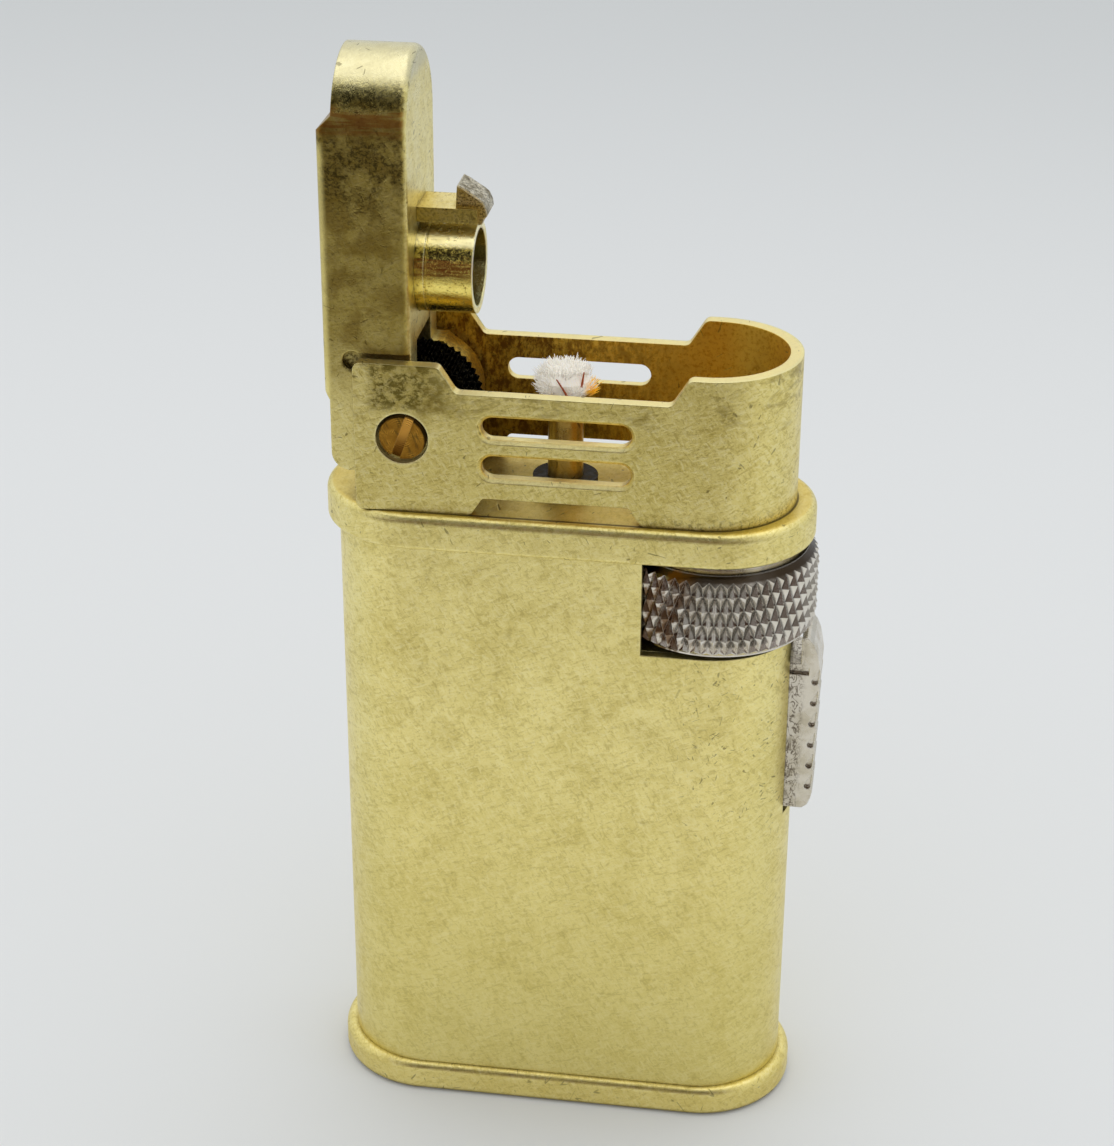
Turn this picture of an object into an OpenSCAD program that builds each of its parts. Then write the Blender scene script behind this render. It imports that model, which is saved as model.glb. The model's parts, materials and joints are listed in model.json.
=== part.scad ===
// Pocket petrol lighter with a wind guard, a swinging lid, a thumb wheel and a side lever.
// Millimetres. X runs along the body, Y away from the front face, Z up.
// The origin is the centre of the underside of the base plate. The lid stands open.

/* [Body] */
// Length of the body shell
body_l = 36; // [35:0.5:40]
// Width of the body shell, which is also the diameter of its round ends
body_w = 14; // [13.6:0.2:15]
// Height of the body shell between the base plate and the deck plate
body_h = 47.6; // [44:0.2:54]
// Wall of the body shell
shell_wall = 0.8; // [0.6:0.1:1.0]
// Thickness of the base plate
base_t = 2.6; // [2.2:0.1:3.4]
// Thickness of the deck plate under the wind guard
deck_t = 2.8; // [2.6:0.1:3.4]
// How far both plates stand out past the ends of the shell
lip_end = 0.9; // [0.5:0.1:1.4]
// How far both plates stand out past the sides of the shell
lip_side = 0.6; // [0.4:0.1:1.0]
// Radius of the worn outer edges of both plates
plate_edge_r = 0.7; // [0.3:0.1:1.0]

/* [Wind guard] */
// Outer width of the wind guard
guard_w = 13.5; // [13.2:0.1:14]
// Height of the wind guard above the deck
guard_h = 11.8; // [11.4:0.1:13]
// Wall of the wind guard
guard_wall = 1.0; // [0.8:0.1:1.1]
// How far its rounded end stays inside the end of the deck plate
guard_inset = 1.55; // [1.2:0.05:2]
// Depth of the dip in its top edge
dip_h = 2.1; // [1.5:0.1:2.6]
// Length of the dip along its bottom
dip_l = 15.9; // [14:0.1:17]
// Run of the slopes at both ends of the dip
dip_slope = 1.3; // [0.8:0.1:1.6]
// Length of the air slots over their round ends
slot_l = 11.2; // [8:0.2:12]
// Height of an air slot
slot_h = 1.75; // [1.2:0.05:2.2]
// Distance from one slot to the next
slot_pitch = 3.1; // [2.6:0.1:3.6]
// Number of slots in each side
slot_count = 2; // [1:1:2]
// Height of the lowest slot's centre above the deck
slot_z = 3.95; // [3.4:0.05:4.4]
// Bevel round the outside of each slot
slot_bevel = 0.3; // [0.1:0.05:0.4]
// Height of the notch along the foot of each side
notch_h = 1.45; // [1:0.05:1.8]
// Length of the notch along its foot
notch_l = 12.8; // [9:0.2:14]

/* [Lid] */
// Height of the hinge axis above the deck
pivot_h = 5.9; // [5.6:0.05:6.4]
// Distance of the hinge axis from the open end of the wind guard
pivot_x = 3.6; // [3.2:0.05:3.9]
// Gap between the shut lid and the walls of the wind guard
lid_gap = 0.3; // [0.2:0.05:0.5]
// How far the shut lid stands above the wind guard
lid_over = 0.2; // [0:0.05:0.5]
// Radius of the worn outer edges of the lid
lid_edge_r = 0.6; // [0.2:0.1:1]
// Distance of the lid's inner face from the hinge axis, on the other side
lid_in = 0.45; // [0.2:0.05:0.8]
// How far the tip's outer face steps in
tip_step = 1.15; // [0.5:0.05:1.4]
// Length of the stepped tip
tip_l = 5.1; // [4:0.1:6]
// Radius of the lid's hub round the hinge axis
hub_r = 4.2; // [3.9:0.05:4.3]
// Radius of the fillet between the hub and the lid's inner face
hub_fillet = 3.5; // [1:0.1:4]
// Depth of the rebate in each side of the lid beside the wind guard
rebate = 0.4; // [0.2:0.05:0.5]
// Swing of the lid from open to shut, in degrees
lid_swing = 90; // [80:1:90]

/* [Snuffer and latch] */
// Outer diameter of the snuffer cup
cup_d = 6.9; // [6.6:0.1:7.2]
// Wall of the snuffer cup
cup_wall = 0.55; // [0.4:0.05:0.7]
// Length of the cup outside the lid
cup_l = 4.3; // [3.6:0.1:4.4]
// Width of the latch arm
arm_w = 3.8; // [3:0.1:4.4]
// Thickness of the latch arm
arm_t = 1.1; // [0.9:0.1:1.3]
// Gap between the cup and the latch arm
arm_gap = 0.45; // [0.2:0.05:0.6]
// How far the claw stands past the arm, towards the catch
claw_reach = 1.6; // [1.3:0.1:1.8]
// Travel of the catch slide
catch_travel = 1.25; // [1.1:0.05:1.3]

/* [Wick and flint] */
// Outer diameter of the wick tube
wick_tube_d = 2.7; // [2.4:0.1:2.9]
// Height of the wick tube above the deck
wick_tube_h = 7.5; // [6.5:0.1:7.8]
// Distance of the wick from the middle of the body, towards the hinge
wick_x = 0.4; // [0.1:0.05:0.6]
// Height of the frayed wick above its tube
tuft_h = 2.1; // [1.5:0.1:2.3]
// Diameter of the flint wheel
flint_wheel_d = 9.4; // [9:0.1:9.6]
// Width of the flint wheel
flint_wheel_w = 4.0; // [3.4:0.1:4.2]
// Teeth round the flint wheel
flint_wheel_teeth = 48; // [24:1:60]
// Diameter of the flint
flint_d = 2.4; // [2:0.1:2.6]
// Length of the flint
flint_l = 6; // [4:0.5:7]

/* [Thumb wheel] */
// Diameter of the thumb wheel over its knurl
thumb_d = 15.6; // [15:0.1:16]
// Height of the thumb wheel
thumb_h = 6.7; // [6.2:0.1:6.9]
// How far the thumb wheel stands out past the end of the shell
thumb_stand = 1.3; // [0.9:0.1:1.5]
// Columns of knurl points round the wheel
knurl_columns = 52; // [40:1:56]
// Distance from one row of knurl points to the next
knurl_pitch = 1.2; // [1:0.05:1.4]
// Depth of the knurl
knurl_depth = 0.42; // [0.2:0.02:0.5]
// Diameter of the wheel's axle
axle_d = 2.5; // [2:0.1:2.6]
// Turn of the wheel from open to locked, in degrees
thumb_turn = 60; // [50:1:60]

/* [Side lever] */
// Width of the side lever
lever_w = 4.6; // [4:0.1:4.8]
// Height of the side lever
lever_h = 15.1; // [14:0.1:16]
// How far the lever's outer face stands out at its top
lever_out_top = 2.0; // [1.6:0.05:2.2]
// How far the lever's outer face stands out at its bottom
lever_out_bottom = 1.75; // [1:0.05:2]
// Number of grip ridges
ridge_count = 6; // [4:1:6]
// Distance from one grip ridge to the next
ridge_pitch = 1.87; // [1.5:0.01:1.9]
// Depth of the scoops at the ends of the ridges
ridge_depth = 0.4; // [0.2:0.05:0.5]
// Swing of the side lever when it is pressed, in degrees
lever_swing = 5; // [3:0.5:5]

/* [Hidden] */

$fn = 96;
// Running clearance of a shaft in its bore
run = 0.04;
// Clearance of a piece that slips into another
slip = 0.05;
// Gap between pieces that pass each other
gap = 0.25;
// Overshoot of a cut past the face it goes through
over = 0.5;

// Levels
shell_z0 = base_t;
shell_z1 = base_t + body_h;
deck_z = shell_z1 + deck_t;
guard_top = deck_z + guard_h;

// Body and plates
plate_l = body_l + 2 * lip_end;
plate_w = body_w + 2 * lip_side;
inner_l = body_l - 2 * shell_wall;
inner_w = body_w - 2 * shell_wall;
end_x = body_l / 2 - body_w / 2;
plug_h = 1.4;
plug_wall = 1.2;
deck_low_r = 0.3;

// Wind guard
guard_r = guard_w / 2;
pivot_set = 7.2;
guard_x1 = plate_l / 2 - guard_inset;
guard_end_x = guard_x1 - guard_r;
guard_in = guard_w / 2 - guard_wall;
pivot_px = pivot_set - plate_l / 2;
guard_x0 = pivot_px - pivot_x;
pivot_pz = deck_z + pivot_h;
dip_mid = 0.3;
slot_mid = -0.2;
notch_mid = -0.2;
notch_slope = 0.9;
tab_drop = 0.1;
guard_corner_r = 0.6;
lid_w = 2 * (guard_in - lid_gap);
lid_l = guard_x1 - guard_wall - lid_gap - pivot_px;
lid_out = guard_h - pivot_h + lid_over;

// Hinge
pivot_hole_r = 1.0;
bush_r = 1.6;
screw_head_r = 1.8;
screw_head_t = 0.35;
screw_sink_r = 2.0;
screw_sink = 0.75;
driver_slot = 0.7;
driver_slot_depth = 0.28;
driver_slot_lean = 20;
washer_gap = 0.05;
washer_t = lid_gap + rebate - 3 * washer_gap;
washer_r = 3.0;
fork_half = flint_wheel_w / 2 + 0.7;
fork_top = flint_wheel_d / 2 + 1.6;
lid_skin = 0.8;
spring_pocket = 1.3;
spring_pocket_r = hub_r - 0.8;

// Snuffer and wick
wick_px = -wick_x;
cup_off = wick_px - pivot_px;
cup_z = pivot_pz + cup_off;
cup_r = cup_d / 2;
cup_bore_r = cup_r - cup_wall;
cup_bore_skin = 0.8;
cup_seat = 0.6;
arm_z = cup_z + cup_r + arm_gap;
arm_l = cup_l + 0.2;
wick_r = wick_tube_d / 2 - 0.35;
wick_tube_top = deck_z + wick_tube_h;
wick_tube_foot = 36;
wick_foot = 12;
collar_r = 2.5;
collar_h = 0.9;
collar_neck_r = 2.0;
tuft_r = 1.8;

// Flint line
flint_top = pivot_pz - flint_wheel_d / 2 - 0.05;
flint_tube_r = flint_d / 2 + 0.6;
flint_bore_r = flint_d / 2 + 0.15;
flint_tube_top = deck_z + 0.5;
follower_h = 1.5;
base_recess = 0.1;
flint_screw_h = 8;
flint_screw_head_r = 2.5;
flint_screw_head_t = 1.1;
flint_tube_z = base_recess + flint_screw_head_t;
follower_z = flint_top - flint_l - follower_h;
flint_spring_z = flint_tube_z + flint_screw_h;

// Filler
filler_in = 6;
filler_head_r = 3.5;
filler_head_t = 1.1;
filler_shank_r = 2.5;
filler_shank_h = 5.8;
filler_washer_t = 0.4;
filler_washer_z = base_recess + filler_head_t;
coin_slot = 0.8;
coin_slot_depth = 0.6;

// Thumb wheel and the round eccentric on top of it
thumb_r = thumb_d / 2;
thumb_x = body_l / 2 + thumb_stand - thumb_r;
filler_x = thumb_x - filler_in;
thumb_z1 = shell_z1 - 0.65;
thumb_z0 = thumb_z1 - thumb_h;
knurl_levels = 7;
knurl_z0 = thumb_h / 2 - knurl_levels * knurl_pitch / 2 - 0.1;
rim_bevel = 0.5;
rim_chamfer = 0.8;
rim_land = 0.1;
axle_r = axle_d / 2;
window_gap = 0.5;
window_z = thumb_z0 - window_gap;
window_x = thumb_x - thumb_r + 2.7;
bed_t = 1.0;
wheel_washer_t = 0.5;
wheel_washer_r = 3.6;
bed_z = window_z - bed_t;
shoulder_r = thumb_r - 1.5;
shoulder_top = shell_z1 - 0.1;
throw = catch_travel / (2 * sin(thumb_turn / 2));
cam_r = 3.0;
cam_gap = 0.06;
slide_z0 = shell_z1 + 0.05;
slide_t = 1.1;
bridge_lap = 0.1;
bridge_t = 0.4;
cam_top = slide_z0 + slide_t - bridge_lap - 0.2;
pocket_z = slide_z0 + slide_t - bridge_lap + bridge_t + 0.1;
yoke_bar = 1.3;
yoke_x = thumb_x + catch_travel / 2;
yoke_in = cam_r + cam_gap;
yoke_window_half = throw + cam_r + 0.2;
yoke_half_w = yoke_window_half + 0.9;
yoke_left = yoke_x - yoke_in - yoke_bar;
yoke_right = yoke_x + yoke_in + 0.8;
pocket_x1 = yoke_right + 0.2;

// Catch nose, which reaches over the claw when the wheel is turned
claw_back = 3.3;
claw_tip_x = pivot_px + (arm_z + arm_t + claw_reach - pivot_pz);
tooth_x = claw_tip_x + 0.5;
tooth_l = 0.9;
tooth_z = pivot_pz - claw_back + 0.15;
tooth_h = 1.0;
post_x = tooth_x + tooth_l;
post_t = 0.9;
nose_w = 2.4;
nose_gap = 0.15;
bridge_x0 = min(yoke_left, post_x);
bridge_x1 = max(yoke_left + yoke_bar, post_x + post_t);
pocket_x0 = bridge_x0 - catch_travel - 0.2;

// Side lever
lever_z1 = window_z + 0.05;
lever_z0 = lever_z1 - lever_h;
lever_pin_x = body_l / 2 - 2.8;
lever_pin_z = lever_z0 + 2.8;
lever_pin_r = 0.7;
lever_in_x = lever_pin_x + 1.4;
lever_flange_top = lever_z1 - 2.25;
lever_nose_in = body_l / 2 + 0.4;
lever_lug_r = 1.1;
lever_lug_t = 1.0;
lever_slot_half = lever_w / 2 + 0.15;
lever_slot_z = lever_z0 - 0.6;
ridge_z0 = lever_z0 + 2.0;
ridge_ledge = 0.3;
scoop_r = 0.26;
scoop_depth = 0.35;
bracket_t = 0.6;
bracket_gap = 0.15;
bracket_h = 4;
bracket_lug_r = 1.0;
spring_wire = 0.3;

// Tank
tank_gap = 0.15;
tank_wall = 0.4;
tank_z0 = shell_z0 + plug_h;
tank_cover_t = 0.6;
tank_cover_z = bed_z - tank_cover_t;
tank_x1 = lever_pin_x - 1.8;
tank_l = inner_l - 2 * tank_gap;
tank_w = inner_w - 2 * tank_gap;
packing_gap = 0.3;

// A flat shape with two straight sides and two round ends, centred on the origin
module stadium(l, w) {
    square([l - w, w], center = true);
    for (side = [-1, 1])
        translate([side * (l - w) / 2, 0]) circle(d = w);
}

// Points of an arc round a centre in X and Z
function arc(x, z, r, a0, a1, steps) =
    [for (i = [0:steps]) let (a = a0 + (a1 - a0) * i / steps) [x + r * cos(a), z + r * sin(a)]];

// Points of an arc that rounds the corner at b between a and c
function corner(a, b, c, r) =
    let (u = (a - b) / norm(a - b), v = (c - b) / norm(c - b), half = acos(u * v) / 2,
        centre = b + (u + v) / norm(u + v) * r / sin(half), start = b + u * r / tan(half) - centre,
        end = b + v * r / tan(half) - centre, a0 = atan2(start[1], start[0]),
        turn = atan2(start[0] * end[1] - start[1] * end[0], start * end))
    arc(centre[0], centre[1], r, a0, a0 + turn, 8);

// A flat shape whose corners are rounded, each by its own radius
module rounded_outline(points, radii) {
    n = len(points);
    polygon([for (i = [0:n - 1])
        each radii[i] == 0 ? [points[i]] : corner(points[(i + n - 1) % n], points[i], points[(i + 1) % n], radii[i])]);
}

// Half of a plate's section from its middle line outwards, its lower and upper corner rounded
module edge_profile(half, t, r_low, r_high) {
    polygon(concat([[0, 0]], arc(half - r_low, r_low, r_low, -90, 0, 8),
        arc(half - r_high, t - r_high, r_high, 0, 90, 8), [[0, t]]));
}

// A stadium plate whose outer edges are rounded
module rounded_plate(l, w, t, r_low, r_high) {
    half = w / 2;
    for (side = [-1, 1])
        translate([side * (l / 2 - half), 0, 0]) rotate_extrude() edge_profile(half, t, r_low, r_high);
    translate([-(l / 2 - half), 0, 0])
        rotate([90, 0, 90])
            linear_extrude(l - w) {
                edge_profile(half, t, r_low, r_high);
                mirror([1, 0]) edge_profile(half, t, r_low, r_high);
            }
}

// A bar through the part along Y, centred at a place in X and Z
module y_rod(x, z, r, y0, y1) {
    translate([x, y1, z]) rotate([90, 0, 0]) cylinder(r = r, h = y1 - y0);
}

// A flat shape drawn in X and Z, given a thickness along Y
module y_slab(y0, y1) {
    translate([0, y1, 0]) rotate([90, 0, 0]) linear_extrude(y1 - y0) children();
}

// A slot cut through one wall along Y with round ends and a bevelled outer edge
module slot_cut(l, h, y_in, y_out, bevel) {
    for (side = [-1, 1])
        translate([side * (l - h) / 2, 0, 0]) {
            y_rod(0, 0, h / 2, y_out - over, y_in + over);
            translate([0, y_out + bevel, 0])
                rotate([90, 0, 0]) cylinder(r1 = h / 2, r2 = h / 2 + 2 * bevel, h = 2 * bevel);
        }
    y_slab(y_out - over, y_in + over) square([l - h, h], center = true);
    rotate([90, 0, 90])
        translate([0, 0, -(l - h) / 2])
            linear_extrude(l - h)
                polygon([[y_out + bevel, -h / 2], [y_out + bevel, h / 2],
                    [y_out - bevel, h / 2 + 2 * bevel], [y_out - bevel, -h / 2 - 2 * bevel]]);
}

// Screw with a coin slot across its lower face: a head, and a shank above it
module coin_screw(head_r, head_t, shank_r, shank_h) {
    difference() {
        cylinder(r = head_r, h = head_t);
        translate([-head_r - over, -coin_slot / 2, -over])
            cube([2 * (head_r + over), coin_slot, coin_slot_depth + over]);
    }
    translate([0, 0, head_t]) cylinder(r = shank_r, h = shank_h);
}

// Holes along Z through a level, one for each place and radius
module z_holes(places, z, h) {
    for (place = places)
        translate([place[0], 0, z - over]) cylinder(r = place[1], h = h + 2 * over);
}

module base_plate() {
    color("#c2b768") difference() {
        union() {
            rounded_plate(plate_l, plate_w, base_t, plate_edge_r, plate_edge_r);
            translate([0, 0, base_t])
                linear_extrude(plug_h) stadium(inner_l - 2 * slip, inner_w - 2 * slip);
        }
        translate([filler_x, 0, -over])
            cylinder(r = filler_head_r + slip, h = filler_washer_z + filler_washer_t + over);
        translate([pivot_px, 0, -over])
            cylinder(r = flint_screw_head_r + slip, h = flint_tube_z + over);
        z_holes([[filler_x, filler_shank_r + slip], [pivot_px, flint_tube_r + slip]], 0, tank_z0);
    }
}

module body_shell() {
    color("#c9bd6e") difference() {
        translate([0, 0, shell_z0])
            linear_extrude(body_h) difference() {
                stadium(body_l, body_w);
                stadium(inner_l, inner_w);
            }
        translate([window_x, -body_w, window_z]) cube([body_l, 2 * body_w, body_h]);
        translate([end_x, -lever_slot_half, lever_slot_z])
            cube([body_l, 2 * lever_slot_half, body_h]);
    }
}

module deck_plate() {
    color("#c2b768") difference() {
        union() {
            translate([0, 0, shell_z1]) rounded_plate(plate_l, plate_w, deck_t, deck_low_r, plate_edge_r);
            translate([0, 0, shell_z1 - plug_h])
                linear_extrude(plug_h + over) intersection() {
                    difference() {
                        stadium(inner_l - 2 * slip, inner_w - 2 * slip);
                        stadium(inner_l - 2 * plug_wall, inner_w - 2 * plug_wall);
                    }
                    translate([-body_l, -body_w]) square([body_l, 2 * body_w]);
                }
        }
        z_holes([[pivot_px, flint_tube_r + slip], [wick_px, collar_neck_r + slip]], shell_z1, deck_t);
        translate([pocket_x0, -yoke_half_w - slip, shell_z1 - over])
            cube([pocket_x1 - pocket_x0, 2 * (yoke_half_w + slip), pocket_z - shell_z1 + over]);
        translate([tooth_x - catch_travel - nose_gap, -nose_w / 2 - slip, shell_z1])
            cube([tooth_l + post_t + catch_travel + 2 * nose_gap, nose_w + 2 * slip, deck_t + over]);
    }
}

// Outline of the wind guard seen from the front
module guard_side() {
    dip_x0 = dip_mid - dip_l / 2;
    dip_x1 = dip_mid + dip_l / 2;
    notch_x0 = notch_mid - notch_l / 2;
    notch_x1 = notch_mid + notch_l / 2;
    c = guard_corner_r;
    points = [[guard_x0, deck_z], [notch_x0, deck_z], [notch_x0 + notch_slope, deck_z + notch_h],
        [notch_x1 - notch_slope, deck_z + notch_h], [notch_x1, deck_z], [guard_x1, deck_z],
        [guard_x1, guard_top], [dip_x1 + dip_slope, guard_top], [dip_x1, guard_top - dip_h],
        [dip_x0, guard_top - dip_h], [dip_x0 - dip_slope, guard_top - tab_drop],
        [guard_x0, guard_top - tab_drop]];
    rounded_outline(points, [c, c, c * 0.7, c * 0.7, c, 0, 0, c, c, c, c, c]);
}

// Plan of the wind guard, a U that is open towards the hinge
module guard_plan(r, x0) {
    translate([guard_end_x, 0]) circle(r = r);
    translate([x0, -r]) square([guard_end_x - x0, 2 * r]);
}

module wind_guard() {
    color("#c9bd6e") difference() {
        intersection() {
            y_slab(-guard_r, guard_r) guard_side();
            translate([0, 0, deck_z])
                linear_extrude(guard_h) difference() {
                    guard_plan(guard_r, guard_x0 - 1);
                    guard_plan(guard_in, guard_x0 - 2);
                }
        }
        for (side = [0, 1], row = [0:slot_count - 1])
            mirror([0, side, 0])
                translate([slot_mid, 0, deck_z + slot_z + row * slot_pitch])
                    slot_cut(slot_l, slot_h, -guard_in, -guard_r, slot_bevel);
        y_rod(pivot_px, pivot_pz, pivot_hole_r + run, -guard_w, guard_w);
        y_rod(pivot_px, pivot_pz, screw_sink_r, -guard_w, -guard_r + screw_sink);
    }
}

// Inside of the body up to a flat end at the side lever
module tank_plan(inset) {
    intersection() {
        stadium(tank_l - 2 * inset, tank_w - 2 * inset);
        translate([-body_l, -body_w]) square([body_l + tank_x1 - inset, 2 * body_w]);
    }
}

module fuel_tank() {
    color("#b9ad74") difference() {
        translate([0, 0, tank_z0]) linear_extrude(tank_cover_z - tank_z0) tank_plan(0);
        translate([0, 0, tank_z0 + tank_wall])
            linear_extrude(tank_cover_z - tank_z0) tank_plan(tank_wall);
        z_holes([[filler_x, filler_shank_r + slip], [pivot_px, flint_tube_r + slip]], tank_z0, tank_wall);
    }
}

module tank_cover() {
    color("#b9ad74") difference() {
        translate([0, 0, tank_cover_z]) linear_extrude(tank_cover_t) tank_plan(0);
        z_holes([[pivot_px, flint_tube_r + slip], [wick_px, wick_tube_d / 2 + slip]],
            tank_cover_z, tank_cover_t);
    }
}

module tank_packing() {
    packing_z = filler_washer_z + filler_shank_h + packing_gap;
    packing_h = tank_cover_z - packing_gap - packing_z;
    color("#e9e4d6") difference() {
        translate([0, 0, packing_z]) linear_extrude(packing_h) tank_plan(tank_wall + packing_gap);
        z_holes([[pivot_px, flint_tube_r + packing_gap], [wick_px, wick_tube_d / 2 + packing_gap]],
            packing_z, packing_h);
    }
}

module wheel_bed() {
    color("#b9ad74") difference() {
        translate([0, 0, bed_z])
            linear_extrude(bed_t) intersection() {
                stadium(inner_l - 2 * slip, inner_w - 2 * slip);
                translate([-body_l, -body_w]) square([body_l + lever_pin_x, 2 * body_w]);
            }
        z_holes([[pivot_px, flint_tube_r + slip], [wick_px, wick_tube_d / 2 + slip],
            [thumb_x, axle_r + slip]], bed_z, bed_t);
    }
}

module flint_tube() {
    color("#b59a4a") translate([pivot_px, 0, flint_tube_z])
        difference() {
            cylinder(r = flint_tube_r, h = flint_tube_top - flint_tube_z);
            translate([0, 0, -over]) cylinder(r = flint_bore_r, h = flint_tube_top);
        }
}

module flint_screw() {
    color("#b59a4a") translate([pivot_px, 0, base_recess])
        coin_screw(flint_screw_head_r, flint_screw_head_t, flint_bore_r - run, flint_screw_h);
}

module flint_spring() {
    color("#8d9299") translate([pivot_px, 0, flint_spring_z])
        difference() {
            cylinder(r = flint_bore_r - 0.15, h = follower_z - flint_spring_z);
            translate([0, 0, -over]) cylinder(r = flint_bore_r - 0.55, h = follower_z);
        }
}

module flint_follower() {
    color("#b59a4a") translate([pivot_px, 0, follower_z])
        cylinder(r = flint_bore_r - 0.1, h = follower_h);
}

module flint() {
    color("#4b4a48") translate([pivot_px, 0, follower_z + follower_h])
        cylinder(r = flint_d / 2, h = flint_l);
}

module filler_screw() {
    color("#b59a4a") translate([filler_x, 0, base_recess])
        coin_screw(filler_head_r, filler_head_t, filler_shank_r, filler_shank_h);
}

module filler_washer() {
    color("#6b4a2c") translate([filler_x, 0, filler_washer_z])
        difference() {
            cylinder(r = filler_head_r - 0.1, h = filler_washer_t);
            translate([0, 0, -over])
                cylinder(r = filler_shank_r + slip, h = filler_washer_t + 2 * over);
        }
}

module wick_tube() {
    color("#b59a4a") translate([wick_px, 0, wick_tube_foot])
        difference() {
            cylinder(r = wick_tube_d / 2, h = wick_tube_top - wick_tube_foot);
            translate([0, 0, -over]) cylinder(r = wick_r + slip, h = deck_z);
        }
}

module wick_collar() {
    color("#2e2c2a") difference() {
        union() {
            translate([wick_px, 0, deck_z]) cylinder(r = collar_r, h = collar_h);
            translate([wick_px, 0, shell_z1]) cylinder(r = collar_neck_r, h = deck_t);
        }
        translate([wick_px, 0, shell_z1 - over])
            cylinder(r = wick_tube_d / 2 + run, h = deck_t + collar_h + 2 * over);
    }
}

module wick() {
    color("#efe9dc") translate([wick_px, 0, 0]) {
        translate([0, 0, wick_foot]) cylinder(r = wick_r, h = wick_tube_top - wick_foot);
        translate([0, 0, wick_tube_top])
            cylinder(r1 = wick_tube_d / 2, r2 = tuft_r, h = tuft_h * 0.6);
        translate([0, 0, wick_tube_top + tuft_h * 0.6])
            cylinder(r1 = tuft_r, r2 = tuft_r * 0.8, h = tuft_h * 0.4);
    }
}

// Side view of the lid round the hinge axis, open: the axis is the origin
module lid_side() {
    tip_z = lid_l - tip_l;
    tail = 3.4;
    tail_r = 1.4;
    tail_x = 0.45 - lid_out;
    fillet_x = lid_in + hub_fillet;
    fillet_z = sqrt(pow(hub_r + hub_fillet, 2) - pow(fillet_x, 2));
    touch = atan2(fillet_z, fillet_x);
    polygon(concat([[lid_in, lid_l], [tip_step - lid_out, lid_l],
        [tip_step - lid_out, tip_z + tip_step], [-lid_out, tip_z], [-lid_out, 2.9], [tail_x, 2.2]],
        arc(tail_x + tail_r, tail_r - tail, tail_r, 180, 270, 12),
        arc(0, 0, hub_r, 180 + asin(tail / hub_r), 360 + touch, 32),
        arc(fillet_x, fillet_z, hub_fillet, 180 + touch, 180, 10)));
}

// Upright plate between two places along X, with a half-round top end and rounded edges
module lid_plate(x0, x1, z0) {
    half = lid_w / 2;
    t = x1 - x0;
    translate([x0, 0, lid_l - half]) rotate([0, 90, 0])
        rotate_extrude() edge_profile(half, t, lid_edge_r, lid_edge_r);
    translate([x0, 0, z0])
        linear_extrude(lid_l - half - z0)
            for (side = [0, 1])
                mirror([0, side]) translate([t, 0]) rotate(90) edge_profile(half, t, lid_edge_r, lid_edge_r);
}

// Outline of the hub and what stands in front of the lid's inner face
module lid_hub() {
    y_slab(-lid_w / 2, lid_w / 2) intersection() {
        lid_side();
        translate([lid_in - lid_edge_r - 0.2, -2 * lid_out]) square([2 * lid_out, 4 * lid_out]);
    }
    y_slab(-lid_w / 2, lid_w / 2) intersection() {
        lid_side();
        translate([-2 * lid_out, -2 * lid_out]) square([4 * lid_out, 2 * lid_out]);
    }
}

module lid() {
    color("#c9bd6e") difference() {
        translate([pivot_px, 0, pivot_pz]) {
            intersection() {
                union() {
                    lid_plate(-lid_out, lid_in, -hub_r);
                    lid_plate(tip_step - lid_out, lid_in, 0);
                }
                y_slab(-lid_w, lid_w) lid_side();
            }
            intersection() {
                lid_hub();
                translate([-lid_l, -lid_w, -2 * hub_r]) cube([2 * lid_l, 2 * lid_w, 3 * hub_r]);
            }
        }
        for (side = [-1, 1])
            translate([0, side * (lid_w / 2 - rebate / 2), 0]) {
                translate([guard_x0 - gap, -rebate / 2 - (side < 0 ? over : 0), deck_z])
                    cube([guard_w, rebate + over, guard_top - tab_drop + gap - deck_z]);
                y_rod(guard_x0 - gap, guard_top - tab_drop + gap - 0.6, 0.75,
                    -rebate / 2 - (side < 0 ? over : 0), rebate / 2 + (side > 0 ? over : 0));
            }
        translate([pivot_px - lid_out + lid_skin, -fork_half, pivot_pz - 2 * hub_r])
            cube([2 * lid_out, 2 * fork_half, 2 * hub_r + fork_top]);
        y_rod(pivot_px, pivot_pz, bush_r + run, -lid_w, lid_w);
        y_rod(pivot_px, pivot_pz, spring_pocket_r, 0, fork_half + spring_pocket);
        translate([pivot_px - lid_out + cup_bore_skin, 0, cup_z])
            rotate([0, 90, 0]) cylinder(r = cup_bore_r, h = 2 * lid_out);
        translate([pivot_px + lid_in - cup_seat, 0, cup_z])
            rotate([0, 90, 0]) cylinder(r = cup_r + 0.02, h = cup_seat + over);
    }
}

module snuffer_cup() {
    color("#cdb85f") translate([pivot_px + lid_in - cup_seat, 0, cup_z])
        rotate([0, 90, 0])
            difference() {
                cylinder(r = cup_r, h = cup_l + cup_seat);
                translate([0, 0, -over]) cylinder(r = cup_bore_r, h = cup_l + cup_seat + 2 * over);
                translate([0, 0, cup_seat + 0.7])
                    difference() {
                        cylinder(r = cup_r + over, h = 0.15);
                        cylinder(r = cup_r - 0.1, h = 0.15);
                    }
            }
}

module latch_arm() {
    color("#cdb85f") translate([pivot_px + lid_in, -arm_w / 2, arm_z])
        cube([arm_l, arm_w, arm_t]);
}

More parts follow.
